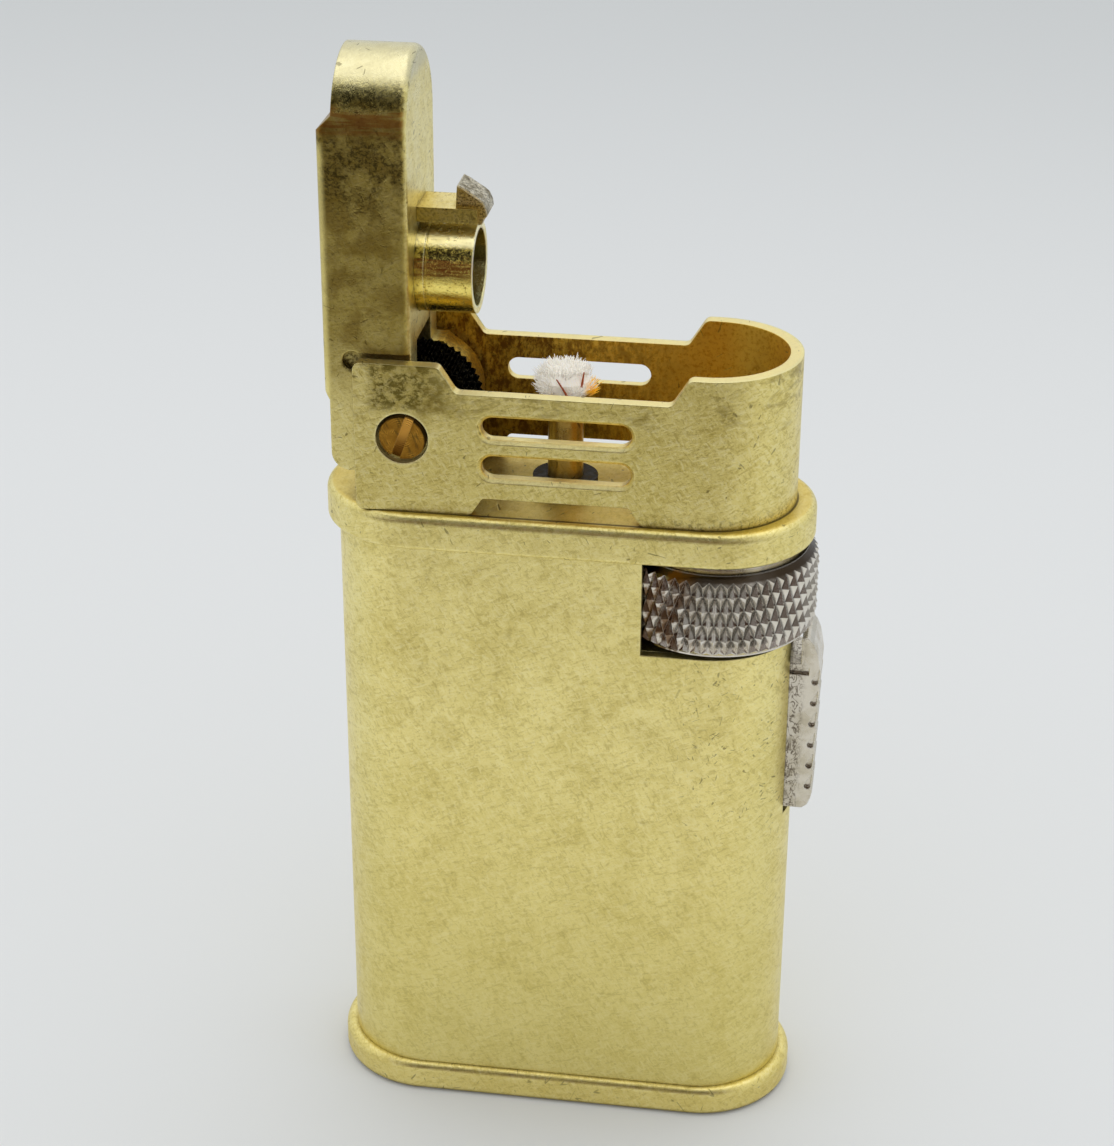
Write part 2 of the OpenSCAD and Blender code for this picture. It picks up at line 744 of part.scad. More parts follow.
// Steel claw brazed to the arm's end: its tip points to the catch when the lid is shut
module latch_claw() {
    arm_end = lid_in + arm_l;
    z0 = arm_z - pivot_pz;
    color("#8f8a80") translate([pivot_px, 0, pivot_pz])
        y_slab(-nose_w / 2 - 0.3, nose_w / 2 + 0.3)
            polygon([[arm_end, z0 - 0.2], [arm_end + 0.3, z0 - 0.1], [arm_end + 0.4, z0 + 0.3],
                [arm_end + 0.65, z0 + 0.5], [arm_end + 0.6, z0 + 0.95], [arm_end + 0.35, z0 + arm_t + 0.4],
                [arm_end + 0.05, z0 + arm_t + 0.65], [claw_back + 0.45, z0 + arm_t + claw_reach - 0.15],
                [claw_back + 0.1, z0 + arm_t + claw_reach], [claw_back, z0 + arm_t],
                [arm_end, z0 + arm_t]]);
}

module pivot_screw() {
    head_y = -guard_r + screw_sink - screw_head_t;
    color("#b08f42") difference() {
        union() {
            y_rod(pivot_px, pivot_pz, screw_head_r, head_y, head_y + screw_head_t);
            y_rod(pivot_px, pivot_pz, pivot_hole_r, head_y + 0.1, guard_r);
        }
        translate([pivot_px, head_y, pivot_pz])
            rotate([0, driver_slot_lean - 90, 0])
                translate([-screw_head_r - over, -over, -driver_slot / 2])
                    cube([2 * (screw_head_r + over), over + driver_slot_depth, driver_slot]);
    }
}

module pivot_bush() {
    color("#a9adb2") difference() {
        y_rod(pivot_px, pivot_pz, bush_r, -guard_in + slip, guard_in - slip);
        y_rod(pivot_px, pivot_pz, pivot_hole_r + run, -guard_w, guard_w);
    }
}

// One thin washer on each side, between the lid's hub and the wind guard
module hinge_washers() {
    inner = lid_w / 2 - rebate + washer_gap;
    color("#b59a4a") for (side = [-1, 1])
        difference() {
            y_rod(pivot_px, pivot_pz, washer_r, side > 0 ? inner : -inner - washer_t,
                side > 0 ? inner + washer_t : -inner);
            y_rod(pivot_px, pivot_pz, bush_r + run, -guard_w, guard_w);
        }
}

module lid_spring() {
    y0 = fork_half + 0.1;
    color("#8d9299") difference() {
        y_rod(pivot_px, pivot_pz, spring_pocket_r - 0.4, y0, fork_half + spring_pocket - 0.1);
        y_rod(pivot_px, pivot_pz, bush_r + 0.4, 0, guard_w);
    }
}

// Points of a toothed wheel: each tooth leans to one side
function tooth_ring(r, depth, teeth, lean) =
    [for (i = [0:teeth - 1], k = [0, 1])
        let (a = 360 * (i + (k == 0 ? 0 : lean)) / teeth, q = k == 0 ? r : r - depth)
            [q * cos(a), q * sin(a)]];

module flint_wheel() {
    half = flint_wheel_w / 2;
    color("#2b2b2d") difference() {
        translate([pivot_px, 0, pivot_pz]) {
            y_slab(-half, half)
                polygon(tooth_ring(flint_wheel_d / 2, 0.25, flint_wheel_teeth, 0.5));
            y_slab(-half - 0.55, -half + 0.1) polygon(tooth_ring(2.9, 0.5, 12, 0.15));
        }
        y_rod(pivot_px, pivot_pz, bush_r + run, -guard_w, guard_w);
    }
}

// Steel finger on the lid that drives the wheel's ratchet teeth when the lid springs open
module drive_pawl() {
    color("#8d9299") translate([pivot_px, 0, pivot_pz])
        y_slab(-fork_half, -flint_wheel_w / 2 - 0.15)
            polygon([[-3.05, 0.4], [-2.95, 1.0], [-3.4, 3.6], [-4.4, 3.6], [-4.1, 1.2]]);
}

// Knurled drum: rows of four-sided points, each row half a step round from the last
function knurl_shift(k) = (k % 2) / 2;
function knurl_point(r, turn, k) =
    [r * cos(360 * turn / knurl_columns), r * sin(360 * turn / knurl_columns), k * knurl_pitch];

module knurl_drum() {
    n = knurl_columns;
    top = knurl_levels;
    valley_r = thumb_r - knurl_depth;
    points = concat(
        [for (k = [0:top], i = [0:n - 1]) knurl_point(valley_r, i + knurl_shift(k), k)],
        [for (k = [1:top - 1], i = [0:n - 1]) knurl_point(thumb_r, i + knurl_shift(k) + 0.5, k)]);
    rows = [for (k = [1:top - 1], i = [0:n - 1])
        let (peak = (top + k) * n + i, left = k * n + i, right = k * n + (i + 1) % n,
            next = (i + k % 2) % n, above = (k + 1) * n + next, below = (k - 1) * n + next)
            each [[peak, above, right], [peak, left, above], [peak, below, left], [peak, right, below]]];
    ends = [for (i = [0:n - 1])
        let (foot = (i + 1) % n, head = (i + top % 2) % n)
            each [[foot, i, n + i], [top * n + i, top * n + foot, (top - 1) * n + head]]];
    caps = [[for (i = [0:n - 1]) i], [for (i = [n - 1:-1:0]) top * n + i]];
    polyhedron(points, concat(rows, ends, caps), convexity = 4);
}

// Plain wheel with bevelled rims, which trims the knurl
module wheel_blank() {
    rotate_extrude()
        polygon([[0, 0], [thumb_r - rim_bevel, 0], [thumb_r - rim_bevel, rim_land],
            [thumb_r + 0.02, rim_bevel + rim_land], [thumb_r + 0.02, thumb_h - rim_chamfer - rim_land],
            [thumb_r - rim_chamfer, thumb_h - rim_land], [thumb_r - rim_chamfer, thumb_h], [0, thumb_h]]);
}

module thumb_wheel() {
    start = 90 - thumb_turn / 2;
    color("#a6a3a0") translate([thumb_x, 0, thumb_z0])
        difference() {
            union() {
                intersection() {
                    translate([0, 0, knurl_z0]) knurl_drum();
                    wheel_blank();
                }
                translate([0, 0, thumb_h / 2])
                    cylinder(r = shoulder_r, h = shoulder_top - thumb_z0 - thumb_h / 2);
                translate([throw * cos(start), throw * sin(start), thumb_h])
                    cylinder(r = cam_r, h = cam_top - thumb_z1);
            }
            translate([0, 0, -over]) cylinder(r = axle_r + run, h = thumb_h * 2);
        }
}

module wheel_axle() {
    color("#9a9ea3") translate([thumb_x, 0, bed_z])
        cylinder(r = axle_r, h = cam_top - bed_z);
}

module wheel_washer() {
    color("#b59a4a") translate([thumb_x, 0, bed_z + bed_t])
        difference() {
            cylinder(r = wheel_washer_r, h = wheel_washer_t);
            translate([0, 0, -over]) cylinder(r = axle_r + run, h = wheel_washer_t + 2 * over);
        }
}

module catch_slide() {
    bridge_z0 = slide_z0 + slide_t - bridge_lap;
    color("#8d9299") {
        translate([0, 0, slide_z0])
            linear_extrude(slide_t) difference() {
                translate([yoke_left, -yoke_half_w])
                    square([yoke_right - yoke_left, 2 * yoke_half_w]);
                translate([yoke_x - yoke_in, -yoke_window_half])
                    square([2 * yoke_in, 2 * yoke_window_half]);
            }
        y_slab(-nose_w / 2, nose_w / 2)
            polygon([[bridge_x0, bridge_z0], [bridge_x1, bridge_z0], [bridge_x1, bridge_z0 + bridge_t],
                [post_x + post_t, bridge_z0 + bridge_t],
                [post_x + post_t, tooth_z + tooth_h], [tooth_x + 0.5, tooth_z + tooth_h],
                [tooth_x, tooth_z + 0.5], [tooth_x, tooth_z], [post_x, tooth_z],
                [post_x, bridge_z0 + bridge_t], [bridge_x0, bridge_z0 + bridge_t]]);
    }
}

// Distance of the lever's outer face from the middle of the body at a height
function lever_face(z) = body_l / 2 + lever_out_bottom
    + (lever_out_top - lever_out_bottom) * (z - lever_z0) / lever_h;

// Side view of the side lever: a plate whose outer face has shallow saw teeth, and a nose on top
module lever_side() {
    ridges = [for (i = [0:ridge_count - 1])
        let (z = ridge_z0 + i * ridge_pitch)
            each [[lever_face(z), z - ridge_ledge - 0.1], [lever_face(z) - 0.16, z - ridge_ledge + 0.05],
                [lever_face(z) - 0.03, z + ridge_pitch / 3]]];
    nose = lever_face(lever_z1) - body_l / 2;
    polygon(concat([[lever_in_x, lever_z0 + 0.5], [lever_in_x + 0.5, lever_z0],
        [lever_face(lever_z0) - 0.75, lever_z0], [lever_face(lever_z0) - 0.35, lever_z0 + 0.3],
        [lever_face(lever_z0) - 0.08, lever_z0 + 0.95]],
        ridges,
        [[lever_face(lever_z1 - 3.0), lever_z1 - 3.0], [body_l / 2 + nose * 0.9, lever_z1 - 2.1],
            [body_l / 2 + nose * 0.81, lever_z1 - 1.2], [body_l / 2 + nose * 0.66, lever_z1 - 0.5],
            [body_l / 2 + nose * 0.5, lever_z1 - 0.1], [body_l / 2 + nose * 0.4, lever_z1],
            [lever_nose_in, lever_z1], [lever_nose_in, lever_flange_top], [lever_in_x, lever_flange_top]]));
}

// Drop-shaped scoop at the end of a grip ridge
module ridge_scoop(z) {
    centre = lever_face(z) - ridge_depth - 0.02;
    translate([centre, z]) circle(r = scoop_r, $fn = 24);
    polygon([[centre - scoop_r * 0.8, z + scoop_r * 0.6], [centre + scoop_r, z],
        [lever_face(z + ridge_pitch * 0.6) - 0.12, z + ridge_pitch * 0.6]]);
}

module side_lever() {
    color("#a6a3a0") difference() {
        union() {
            y_slab(-lever_w / 2, lever_w / 2) lever_side();
            for (side = [-1, 1])
                translate([0, side * (lever_w / 2 - lever_lug_t / 2), 0])
                    y_slab(-lever_lug_t / 2, lever_lug_t / 2) {
                        translate([lever_pin_x, lever_pin_z]) circle(r = lever_lug_r);
                        translate([lever_pin_x, lever_pin_z - lever_lug_r])
                            square([lever_in_x - lever_pin_x + 0.2, 2 * lever_lug_r]);
                    }
        }
        y_rod(lever_pin_x, lever_pin_z, lever_pin_r + run, -body_w, body_w);
        for (side = [-1, 1]) {
            translate([body_l / 2 + 0.1, side * lever_w / 2, lever_flange_top - 0.65])
                cube([1.9, 0.7, 0.6], center = true);
            for (i = [0:ridge_count - 1])
                translate([0, side * lever_w / 2, 0])
                    y_slab(-scoop_depth, scoop_depth) ridge_scoop(ridge_z0 + i * ridge_pitch);
        }
    }
}

module lever_pin() {
    reach = lever_w / 2 + bracket_gap + bracket_t;
    color("#9a9ea3") y_rod(lever_pin_x, lever_pin_z, lever_pin_r, -reach, reach);
}

module lever_bracket() {
    inner = lever_w / 2 + bracket_gap;
    color("#b9ad74") difference() {
        union() {
            translate([tank_x1, -inner - bracket_t, lever_pin_z - bracket_h / 2])
                cube([bracket_t, 2 * (inner + bracket_t), bracket_h]);
            for (side = [-1, 1])
                translate([0, side * (inner + bracket_t / 2), 0])
                    y_slab(-bracket_t / 2, bracket_t / 2) {
                        translate([tank_x1, lever_pin_z - bracket_lug_r])
                            square([lever_pin_x - tank_x1, 2 * bracket_lug_r]);
                        translate([lever_pin_x, lever_pin_z]) circle(r = bracket_lug_r);
                    }
        }
        y_rod(lever_pin_x, lever_pin_z, lever_pin_r + run / 2, -body_w, body_w);
    }
}

module lever_spring() {
    half = lever_w / 2 - lever_lug_t - 0.15;
    coil_in = lever_pin_r + 0.1;
    color("#8d9299") difference() {
        union() {
            y_rod(lever_pin_x, lever_pin_z, coil_in + spring_wire, -half, half);
            translate([lever_pin_x + coil_in, half - spring_wire, lever_pin_z])
                cube([spring_wire, spring_wire, 2.5]);
            translate([lever_pin_x - coil_in - spring_wire, -half, lever_pin_z])
                cube([spring_wire, spring_wire, 2.5]);
        }
        y_rod(lever_pin_x, lever_pin_z, coil_in, -body_w, body_w);
    }
}

base_plate();
body_shell();
deck_plate();
wind_guard();
fuel_tank();
tank_cover();
tank_packing();
wheel_bed();
flint_tube();
flint_screw();
flint_spring();
flint_follower();
flint();
filler_screw();
filler_washer();
wick_tube();
wick_collar();
wick();
lid();
snuffer_cup();
latch_arm();
latch_claw();
pivot_screw();
pivot_bush();
hinge_washers();
lid_spring();
flint_wheel();
drive_pawl();
thumb_wheel();
wheel_axle();
wheel_washer();
catch_slide();
side_lever();
lever_pin();
lever_bracket();
lever_spring();
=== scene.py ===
"""Looks of a brass pocket lighter of the trench type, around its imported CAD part.

The CAD pieces keep their shapes and get finishes here. The lint of the wick, the stage and the camera
are modelled in this file. Objects are in metres in the part's frame, and patterns are in millimetres.
"""

import functools
import json
import math
import random

import bmesh
import bpy
from bpy.props import BoolProperty, FloatProperty, FloatVectorProperty, IntProperty, PointerProperty
from mathutils import Matrix, Vector


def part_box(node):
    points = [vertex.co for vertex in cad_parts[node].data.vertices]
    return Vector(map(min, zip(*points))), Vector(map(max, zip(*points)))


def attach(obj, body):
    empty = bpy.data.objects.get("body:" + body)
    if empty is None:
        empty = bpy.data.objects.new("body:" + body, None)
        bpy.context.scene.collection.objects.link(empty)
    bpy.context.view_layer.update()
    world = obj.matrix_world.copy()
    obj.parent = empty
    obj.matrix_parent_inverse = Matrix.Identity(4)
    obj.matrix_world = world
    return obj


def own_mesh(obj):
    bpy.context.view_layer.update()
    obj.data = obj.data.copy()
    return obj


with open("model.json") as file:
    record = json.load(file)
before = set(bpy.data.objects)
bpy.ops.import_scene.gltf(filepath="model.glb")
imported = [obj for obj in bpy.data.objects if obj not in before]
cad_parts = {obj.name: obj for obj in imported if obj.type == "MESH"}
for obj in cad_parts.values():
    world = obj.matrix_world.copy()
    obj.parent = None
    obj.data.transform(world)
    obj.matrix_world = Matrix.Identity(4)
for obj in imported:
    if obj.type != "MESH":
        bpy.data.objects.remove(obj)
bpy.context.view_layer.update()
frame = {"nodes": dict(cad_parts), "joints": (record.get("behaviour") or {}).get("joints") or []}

bl_info = {
    "name": "Trench Lighter Looks",
    "version": (1, 0, 0),
    "blender": (4, 5, 0),
    "location": "View3D > Sidebar > Lighter",
    "description": "Finishes, wick and stage for a brass pocket lighter",
    "category": "Object",
}

MM = 0.001

# The camera, fitted to the edges of the plates, the shell, the guard and the lid
EYE_MM = (25.111, -178.407, 134.282)
YAW, PITCH, ROLL = 8.333, 26.25, 0.313
LENS, SENSOR = 80.905, 36.0

# The soft box above and behind the lighter, in metres, and its tint
SOFT_BOX_SIZE = (0.60, 0.50)
SOFT_BOX_PLACE = Vector((0.04, 0.06, 0.56))
SOFT_BOX_AIM = Vector((0.0, 0.0, 0.03))
SOFT_BOX_TINT = (1.0, 0.995, 0.98)

# The even light at the horizon and from above, and the height at which it is full
SKY_LOW = (0.80, 0.83, 0.86)
SKY_HIGH = (1.12, 1.12, 1.10)
SKY_FULL = 0.9

FLOOR_HALF = 3.0

# The turn from one lock of the wick's crown to the next, as seeds sit in a sunflower
GOLDEN_ANGLE = 2.399963

# How many cuts there are around the flint wheel
CUTS_AROUND = 56.0

# The lean of those cuts and the hinge screw's turned lines, in radians per millimetre
CUT_LEAN, SCREW_LINES = 5.2, 38.0


def node_box(name):
    """Lowest and highest corner of a CAD node in millimetres."""
    low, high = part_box(name)
    return Vector(low) * 1000, Vector(high) * 1000


def joint_place(name):
    """Place of a joint's axis in millimetres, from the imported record."""
    for joint in frame["joints"]:
        if joint["name"] == name:
            return Vector(joint["pos_m"]) * 1000
    raise RuntimeError("No joint " + name)


def linear(text):
    """Linear colour of an sRGB hex code."""
    parts = [int(text[i:i + 2], 16) / 255 for i in (1, 3, 5)]
    return tuple(c / 12.92 if c <= 0.04045 else ((c + 0.055) / 1.055) ** 2.4 for c in parts)


def wide(colour):
    """A colour with full alpha, as a socket wants it, from a linear colour or an sRGB hex code."""
    return (*(linear(colour) if isinstance(colour, str) else colour), 1.0)


def add_node(tree, kind, inputs=(), output=0, **settings):
    """Adds a node, and gives back one of its outputs, or the node itself for None.

    Inputs are in order, or a dictionary by name or number. A socket is linked, another value is set.
    """
    node = tree.nodes.new("ShaderNode" + kind)
    for key, value in settings.items():
        setattr(node, key, value)
    for key, value in inputs.items() if isinstance(inputs, dict) else enumerate(inputs):
        socket = node.inputs[key]
        if isinstance(value, bpy.types.NodeSocket):
            tree.links.new(value, socket)
        else:
            socket.default_value = wide(value) if socket.type == "RGBA" else value
    return node if output is None else node.outputs[output]


class Shader:
    """A material's node tree, with short ways to lay one finish over another.

    colour and rough hold the colour and the roughness so far.
    """

    def __init__(self, name):
        self.colour = self.rough = None
        self.material = bpy.data.materials.new(name)
        self.material.use_nodes = True
        self.material.node_tree.nodes.clear()
        self.add = functools.partial(add_node, self.material.node_tree)
        coords = self.add("TexCoord", output=None).outputs
        self.normal = coords["Normal"]
        self.point = self.add("VectorMath", {0: coords["Object"], "Scale": 1000}, operation="SCALE")
        self.x, self.y, self.z = self.add("SeparateXYZ", (self.point,), None).outputs

    def times(self, first, *others):
        """The product of any number of values."""
        for other in others:
            first = self.add("Math", (first, other), operation="MULTIPLY")
        return first

    def span(self, value, low, high, to_low=0.0, to_high=1.0):
        """Maps low to high smoothly onto two other values, and stops at both. low may be the higher."""
        if low > high:
            low, high, to_low, to_high = high, low, to_high, to_low
        return self.add("MapRange", (value, low, high, to_low, to_high),
            interpolation_type="SMOOTHSTEP")

    def band(self, value, rise, full, end, fall):
        """One from full to end, and zero below rise and above fall."""
        return self.times(self.span(value, rise, full), self.span(value, fall, end))

    def hair(self, value, wide_at, thin_at):
        """One along the thin lines where a noise crosses its middle."""
        off = self.add("Math", (value, 0.5), operation="SUBTRACT")
        return self.span(self.add("Math", (off,), operation="ABSOLUTE"), wide_at, thin_at)

    def scaled(self, periods, turn=0.0):
        """The place in millimetres divided by a period along each axis, after a turn about Y."""
        point = self.point
        if turn:
            point = self.add("VectorRotate", {"Vector": point, "Angle": turn}, rotation_type="Y_AXIS")
        return self.add("VectorMath", (point, tuple(1 / p for p in periods)), operation="MULTIPLY")

    def noise(self, period, detail=2.0, rough=0.5, turn=0.0, warp=0.0):
        """Cloudy noise with a period in millimetres, or one period for each axis."""
        periods = period if isinstance(period, tuple) else (period, period, period)
        return self.add("TexNoise", {"Vector": self.scaled(periods, turn), "Scale": 1.0,
            "Detail": detail, "Roughness": rough, "Distortion": warp})

    def over(self, under, top, *shares):
        """One colour over another, by the product of the shares."""
        return self.add("Mix", {0: self.times(*shares), 6: under, 7: top}, 2, data_type="RGBA")

    def cover(self, top, *shares):
        """Lays a colour over the one so far, by the product of the shares."""
        self.colour = self.over(self.colour, top, *shares)

    def roughen(self, share, amount):
        """Adds to the roughness so far, or takes away, as far as share says."""
        self.rough = self.add("Math", (share, amount, self.rough), operation="MULTIPLY_ADD")

    def edge(self, width):
        """One at an edge and zero a width in millimetres away from it, and the rounded normal."""
        rounded = self.add("Bevel", {"Radius": width * MM}, samples=6)
        plain = self.add("NewGeometry", output="Normal")
        dot = self.add("VectorMath", (rounded, plain), "Value", operation="DOT_PRODUCT")
        return self.span(dot, 0.995, 0.86), rounded

    def crevice(self, reach):
        """One deep in a corner and zero in the open."""
        open_share = self.add("AmbientOcclusion", {"Distance": reach * MM}, "AO", samples=8)
        return self.span(open_share, 0.75, 0.25)

    def relief(self, normal, *layers):
        """Bends a normal by layers, each a height from zero to one and its depth in millimetres."""
        for height, depth in layers:
            inputs = {"Height": height, "Distance": depth * MM, "Strength": 1.0}
            if normal is not None:
                inputs["Normal"] = normal
            normal = self.add("Bump", inputs)
        return normal

    def scratches(self, share, long_mm=1.5):
        """Short thin scratches in four directions. share is how many there are, from zero to one."""
        cut = 0.70 - 0.13 * share
        found = None
        for turn in (0.35, 1.2, 2.1, 2.75):
            line = self.noise((long_mm * 0.5, long_mm * 2.2, long_mm * 2.2), 0.0, 0.5, turn)
            piece = self.noise((long_mm * 0.41, long_mm * 0.9, long_mm), 1.0, 0.5, turn)
            mark = self.times(self.hair(line, 0.030, 0.012), self.span(piece, cut, cut + 0.03))
            found = mark if found is None else self.add("Math", (found, mark), operation="MAXIMUM")
        return found

    def upward(self, low, high):
        """One on faces of the piece that look up, by the Z part of the piece's own normal."""
        return self.span(self.add("SeparateXYZ", (self.normal,), 2), low, high)

    def ring(self, centre, axes):
        """Distance in millimetres from a line through centre, seen along the third axis."""
        total = 0.0
        for axis in axes:
            off = self.add("Math", (getattr(self, axis), getattr(centre, axis)), operation="SUBTRACT")
            total = self.add("Math", (off, off, total), operation="MULTIPLY_ADD")
        return self.add("Math", (total,), operation="SQRT")

    def from_middle(self, end_x):
        """Distance from the middle plane, and around its end at end_x, as a round-ended outline has."""
        past = self.add("Math", (self.x, end_x), operation="SUBTRACT")
        past = self.add("Math", (past, 0.0), operation="MAXIMUM")
        squares = (self.times(past, past), self.times(self.y, self.y))
        return self.add("Math", (self.add("Math", squares, operation="ADD"),), operation="SQRT")

    def close(self, inputs, surface="BsdfPrincipled"):
        """Adds the surface and the output, and gives back the material."""
        self.add("OutputMaterial", (self.add(surface, inputs),), None)
        return self.material

    def metal(self, roughness, normal=None, **more):
        """Closes the tree as a metal."""
        inputs = {"Base Color": self.colour, "Metallic": 1.0, "Roughness": roughness, **more}
        if normal is not None:
            inputs["Normal"] = normal
        return self.close(inputs)


def give(material, *names):
    """Puts one material on CAD nodes."""
    for name in names:
        mesh = frame["nodes"][name].data
        mesh.materials.clear()
        mesh.materials.append(material)


def aged_brass(name, look, tarnish=1.0, marks=0.5, worn=1.0, roughness=None, grainy=1.0, extra=None):
    """Brass that was tumbled and handled: clouds, crinkled grain, specks, scratches, worn edges, and
    grime with painted shade in the corners.

    Real grain is finer. It is drawn 0.24 to 0.8 mm long, so that it shows. extra takes the tree and
    changes its colour and roughness.
    """
    s = Shader(name)
    clouds = s.noise(7.5, 3.0, 0.55, warp=0.6)
    patches = s.noise(1.9, 4.0, 0.6, warp=0.8)
    along = s.noise((0.8, 0.8, 0.24), 4.0, 0.7, 0.35, 1.0)
    across = s.noise((0.27, 0.75, 0.75), 4.0, 0.7, 0.55, 1.0)
    lightest = s.add("Math", (along, across), operation="MAXIMUM")
    darkest = s.add("Math", (along, across), operation="MINIMUM")
    grain = s.noise(0.16, 2.0, 0.6)
    specks = s.span(s.noise(0.34, 3.0, 0.7), 0.65, 0.72)
    edge, rounded = s.edge(look.edge_width * 1000)
    crevice = s.crevice(1.1)

    s.colour = s.over(look.pale, look.dull, s.span(clouds, 0.35, 0.7, 0.0, 0.40 * tarnish))
    s.cover(look.dull, s.span(patches, 0.42, 0.75, 0.0, 0.45 * tarnish))
    s.cover(look.deep, s.span(darkest, 0.47, 0.35, 0.0, 0.36 * grainy))
    s.cover(look.bright, s.span(lightest, 0.52, 0.64, 0.0, 0.48 * grainy))
    s.cover(look.deep, specks, 0.30 * tarnish)
    s.cover(look.bright, edge, 0.55 * worn)
    # Grime and painted shade in the corners, where ambient occlusion finds them
    s.cover(look.grime_and_shade, crevice, 0.7)
    level = look.roughness if roughness is None else roughness
    s.rough = s.span(patches, 0.3, 0.75, level - 0.05, level + 0.09)
    s.roughen(s.add("Math", (grain, 0.5), operation="SUBTRACT"), 0.16)
    s.roughen(crevice, 0.2)
    if extra:
        extra(s)
    both = s.add("Math", (along, across), operation="ADD")
    normal = s.relief(rounded, (grain, 0.006), (both, 0.013 * grainy), (patches, 0.02))
    if marks:
        scratch = s.scratches(marks)
        s.cover(look.dark, scratch, 0.5)
        normal = s.relief(normal, (scratch, -0.012))
    return s.metal(s.rough, normal)


def tone(name, description, text):
    """A colour that a user can change, from an sRGB hex code."""
    return FloatVectorProperty(name=name, description=description, subtype="COLOR", size=3, min=0,
        max=1, default=linear(text))


class LighterBrass(bpy.types.PropertyGroup):
    """Colours and wear of the brass."""

    pale: tone("Brass", "Colour of the clean brass", "#F3E599")
    dull: tone("Tarnish", "Colour of the thin tarnish in clouds", "#D6C56F")
    deep: tone("Grain", "Colour of the fine dark grain", "#A08D45")
    dark: tone("Specks", "Colour of specks and scratches", "#4A3F1E")
    bright: tone("Worn edge", "Colour of edges worn bright", "#FBF1B6")
    # This colour paints grime, and also painted shade in corners, holes and slots
    grime_and_shade: tone("Grime", "Colour of dirt in the corners", "#33270F")
    golden: tone("Gold", "Colour of aged brass inside the guard", "#D8A834")
    amber: tone("Amber", "Lighter grain of the aged brass", "#F3CE58")
    brown: tone("Brown", "Brown of the aged brass", "#8A5F1C")
    screw: tone("Screw", "Colour of the hinge screw", "#AE8030")
    roughness: FloatProperty(name="Roughness", description="Roughness of the tumbled brass",
        min=0.05, max=0.9, default=0.36)
    polish: FloatProperty(name="Snuffer roughness", description="Roughness of the turned snuffer",
        min=0.05, max=0.9, default=0.17)
    edge_width: FloatProperty(name="Edge width", description="Width of the worn edges",
        unit="LENGTH", min=0, max=0.001, default=0.00014)


class LighterSteel(bpy.types.PropertyGroup):
    """Colours of the steel and nickel pieces."""

    nickel: tone("Nickel", "Colour of the nickel plating", "#E4DFD6")
    # This colour paints dirt, and also painted shade in valleys and corners
    nickel_dirt_and_shade: tone("Nickel dirt", "Colour of the dirt on the nickel", "#2B2118")
    black: tone("Blackened steel", "Colour of the flint wheel", "#0C0C0B")
    grey: tone("Bare steel", "Colour of the flint wheel where it is worn bare", "#B9AF98")
    spring: tone("Spring steel", "Colour of springs and pins", "#B9BBBD")


class LighterWick(bpy.types.PropertyGroup):
    """Size and colours of the frayed wick."""

    crown: IntProperty(name="Crown locks", description="How many locks of lint stand on the wick's top",
        min=4, max=120, default=48)
    sides: IntProperty(name="Side locks", description="How many locks of lint stand around the wick",
        min=4, max=80, default=36)
    strands: IntProperty(name="Strands", description="How many strands each lock has",
        min=2, max=60, default=17)
    rise: FloatProperty(name="Rise", description="Length of the lint on the wick's top",
        unit="LENGTH", min=0.0002, max=0.001, default=0.0006)
    spread: FloatProperty(name="Spread", description="Reach of the lint from the wick's axis",
        unit="LENGTH", min=0.0017, max=0.0027, default=0.0025)
    strand_radius: FloatProperty(name="Strand radius", description="Radius of one strand at its root",
        unit="LENGTH", min=0.00001, max=0.0002, default=0.000048)
    lint: tone("Lint", "Colour of the cotton", "#FCFAF5")
    stain: tone("Stain", "Colour of the fuel stain", "#FFC830")
    thread: tone("Thread", "Colour of the marker threads", "#C06A42")


class LighterStage(bpy.types.PropertyGroup):
    """Colours and light of the stage."""

    floor: tone("Floor", "Colour of the floor", "#DDDFE1")
    far: tone("Far floor", "Colour of the floor far behind", "#C8CBCD")
    # The near floor is lighter: a painted pool of light in front of the lighter
    near: tone("Near floor", "Colour of the floor just in front", "#E8E8E6")
    front: tone("Room", "Colour of the floor in front, seen in reflections", "#7C766C")
    card: tone("Card", "Colour of the brown card in front", "#744A36")
    canopy: tone("Canopy", "Colour of the dark board above the card", "#35322E")
    world: FloatProperty(name="World", description="Strength of the even light", min=0, max=4,
        default=0.89)
    key: FloatProperty(name="Soft box", description="Power of the soft box above", unit="POWER",
        min=0, max=20, default=0.46)
    use_cards: BoolProperty(name="Use cards", description="Puts two boards in front of the lighter",
        default=True)


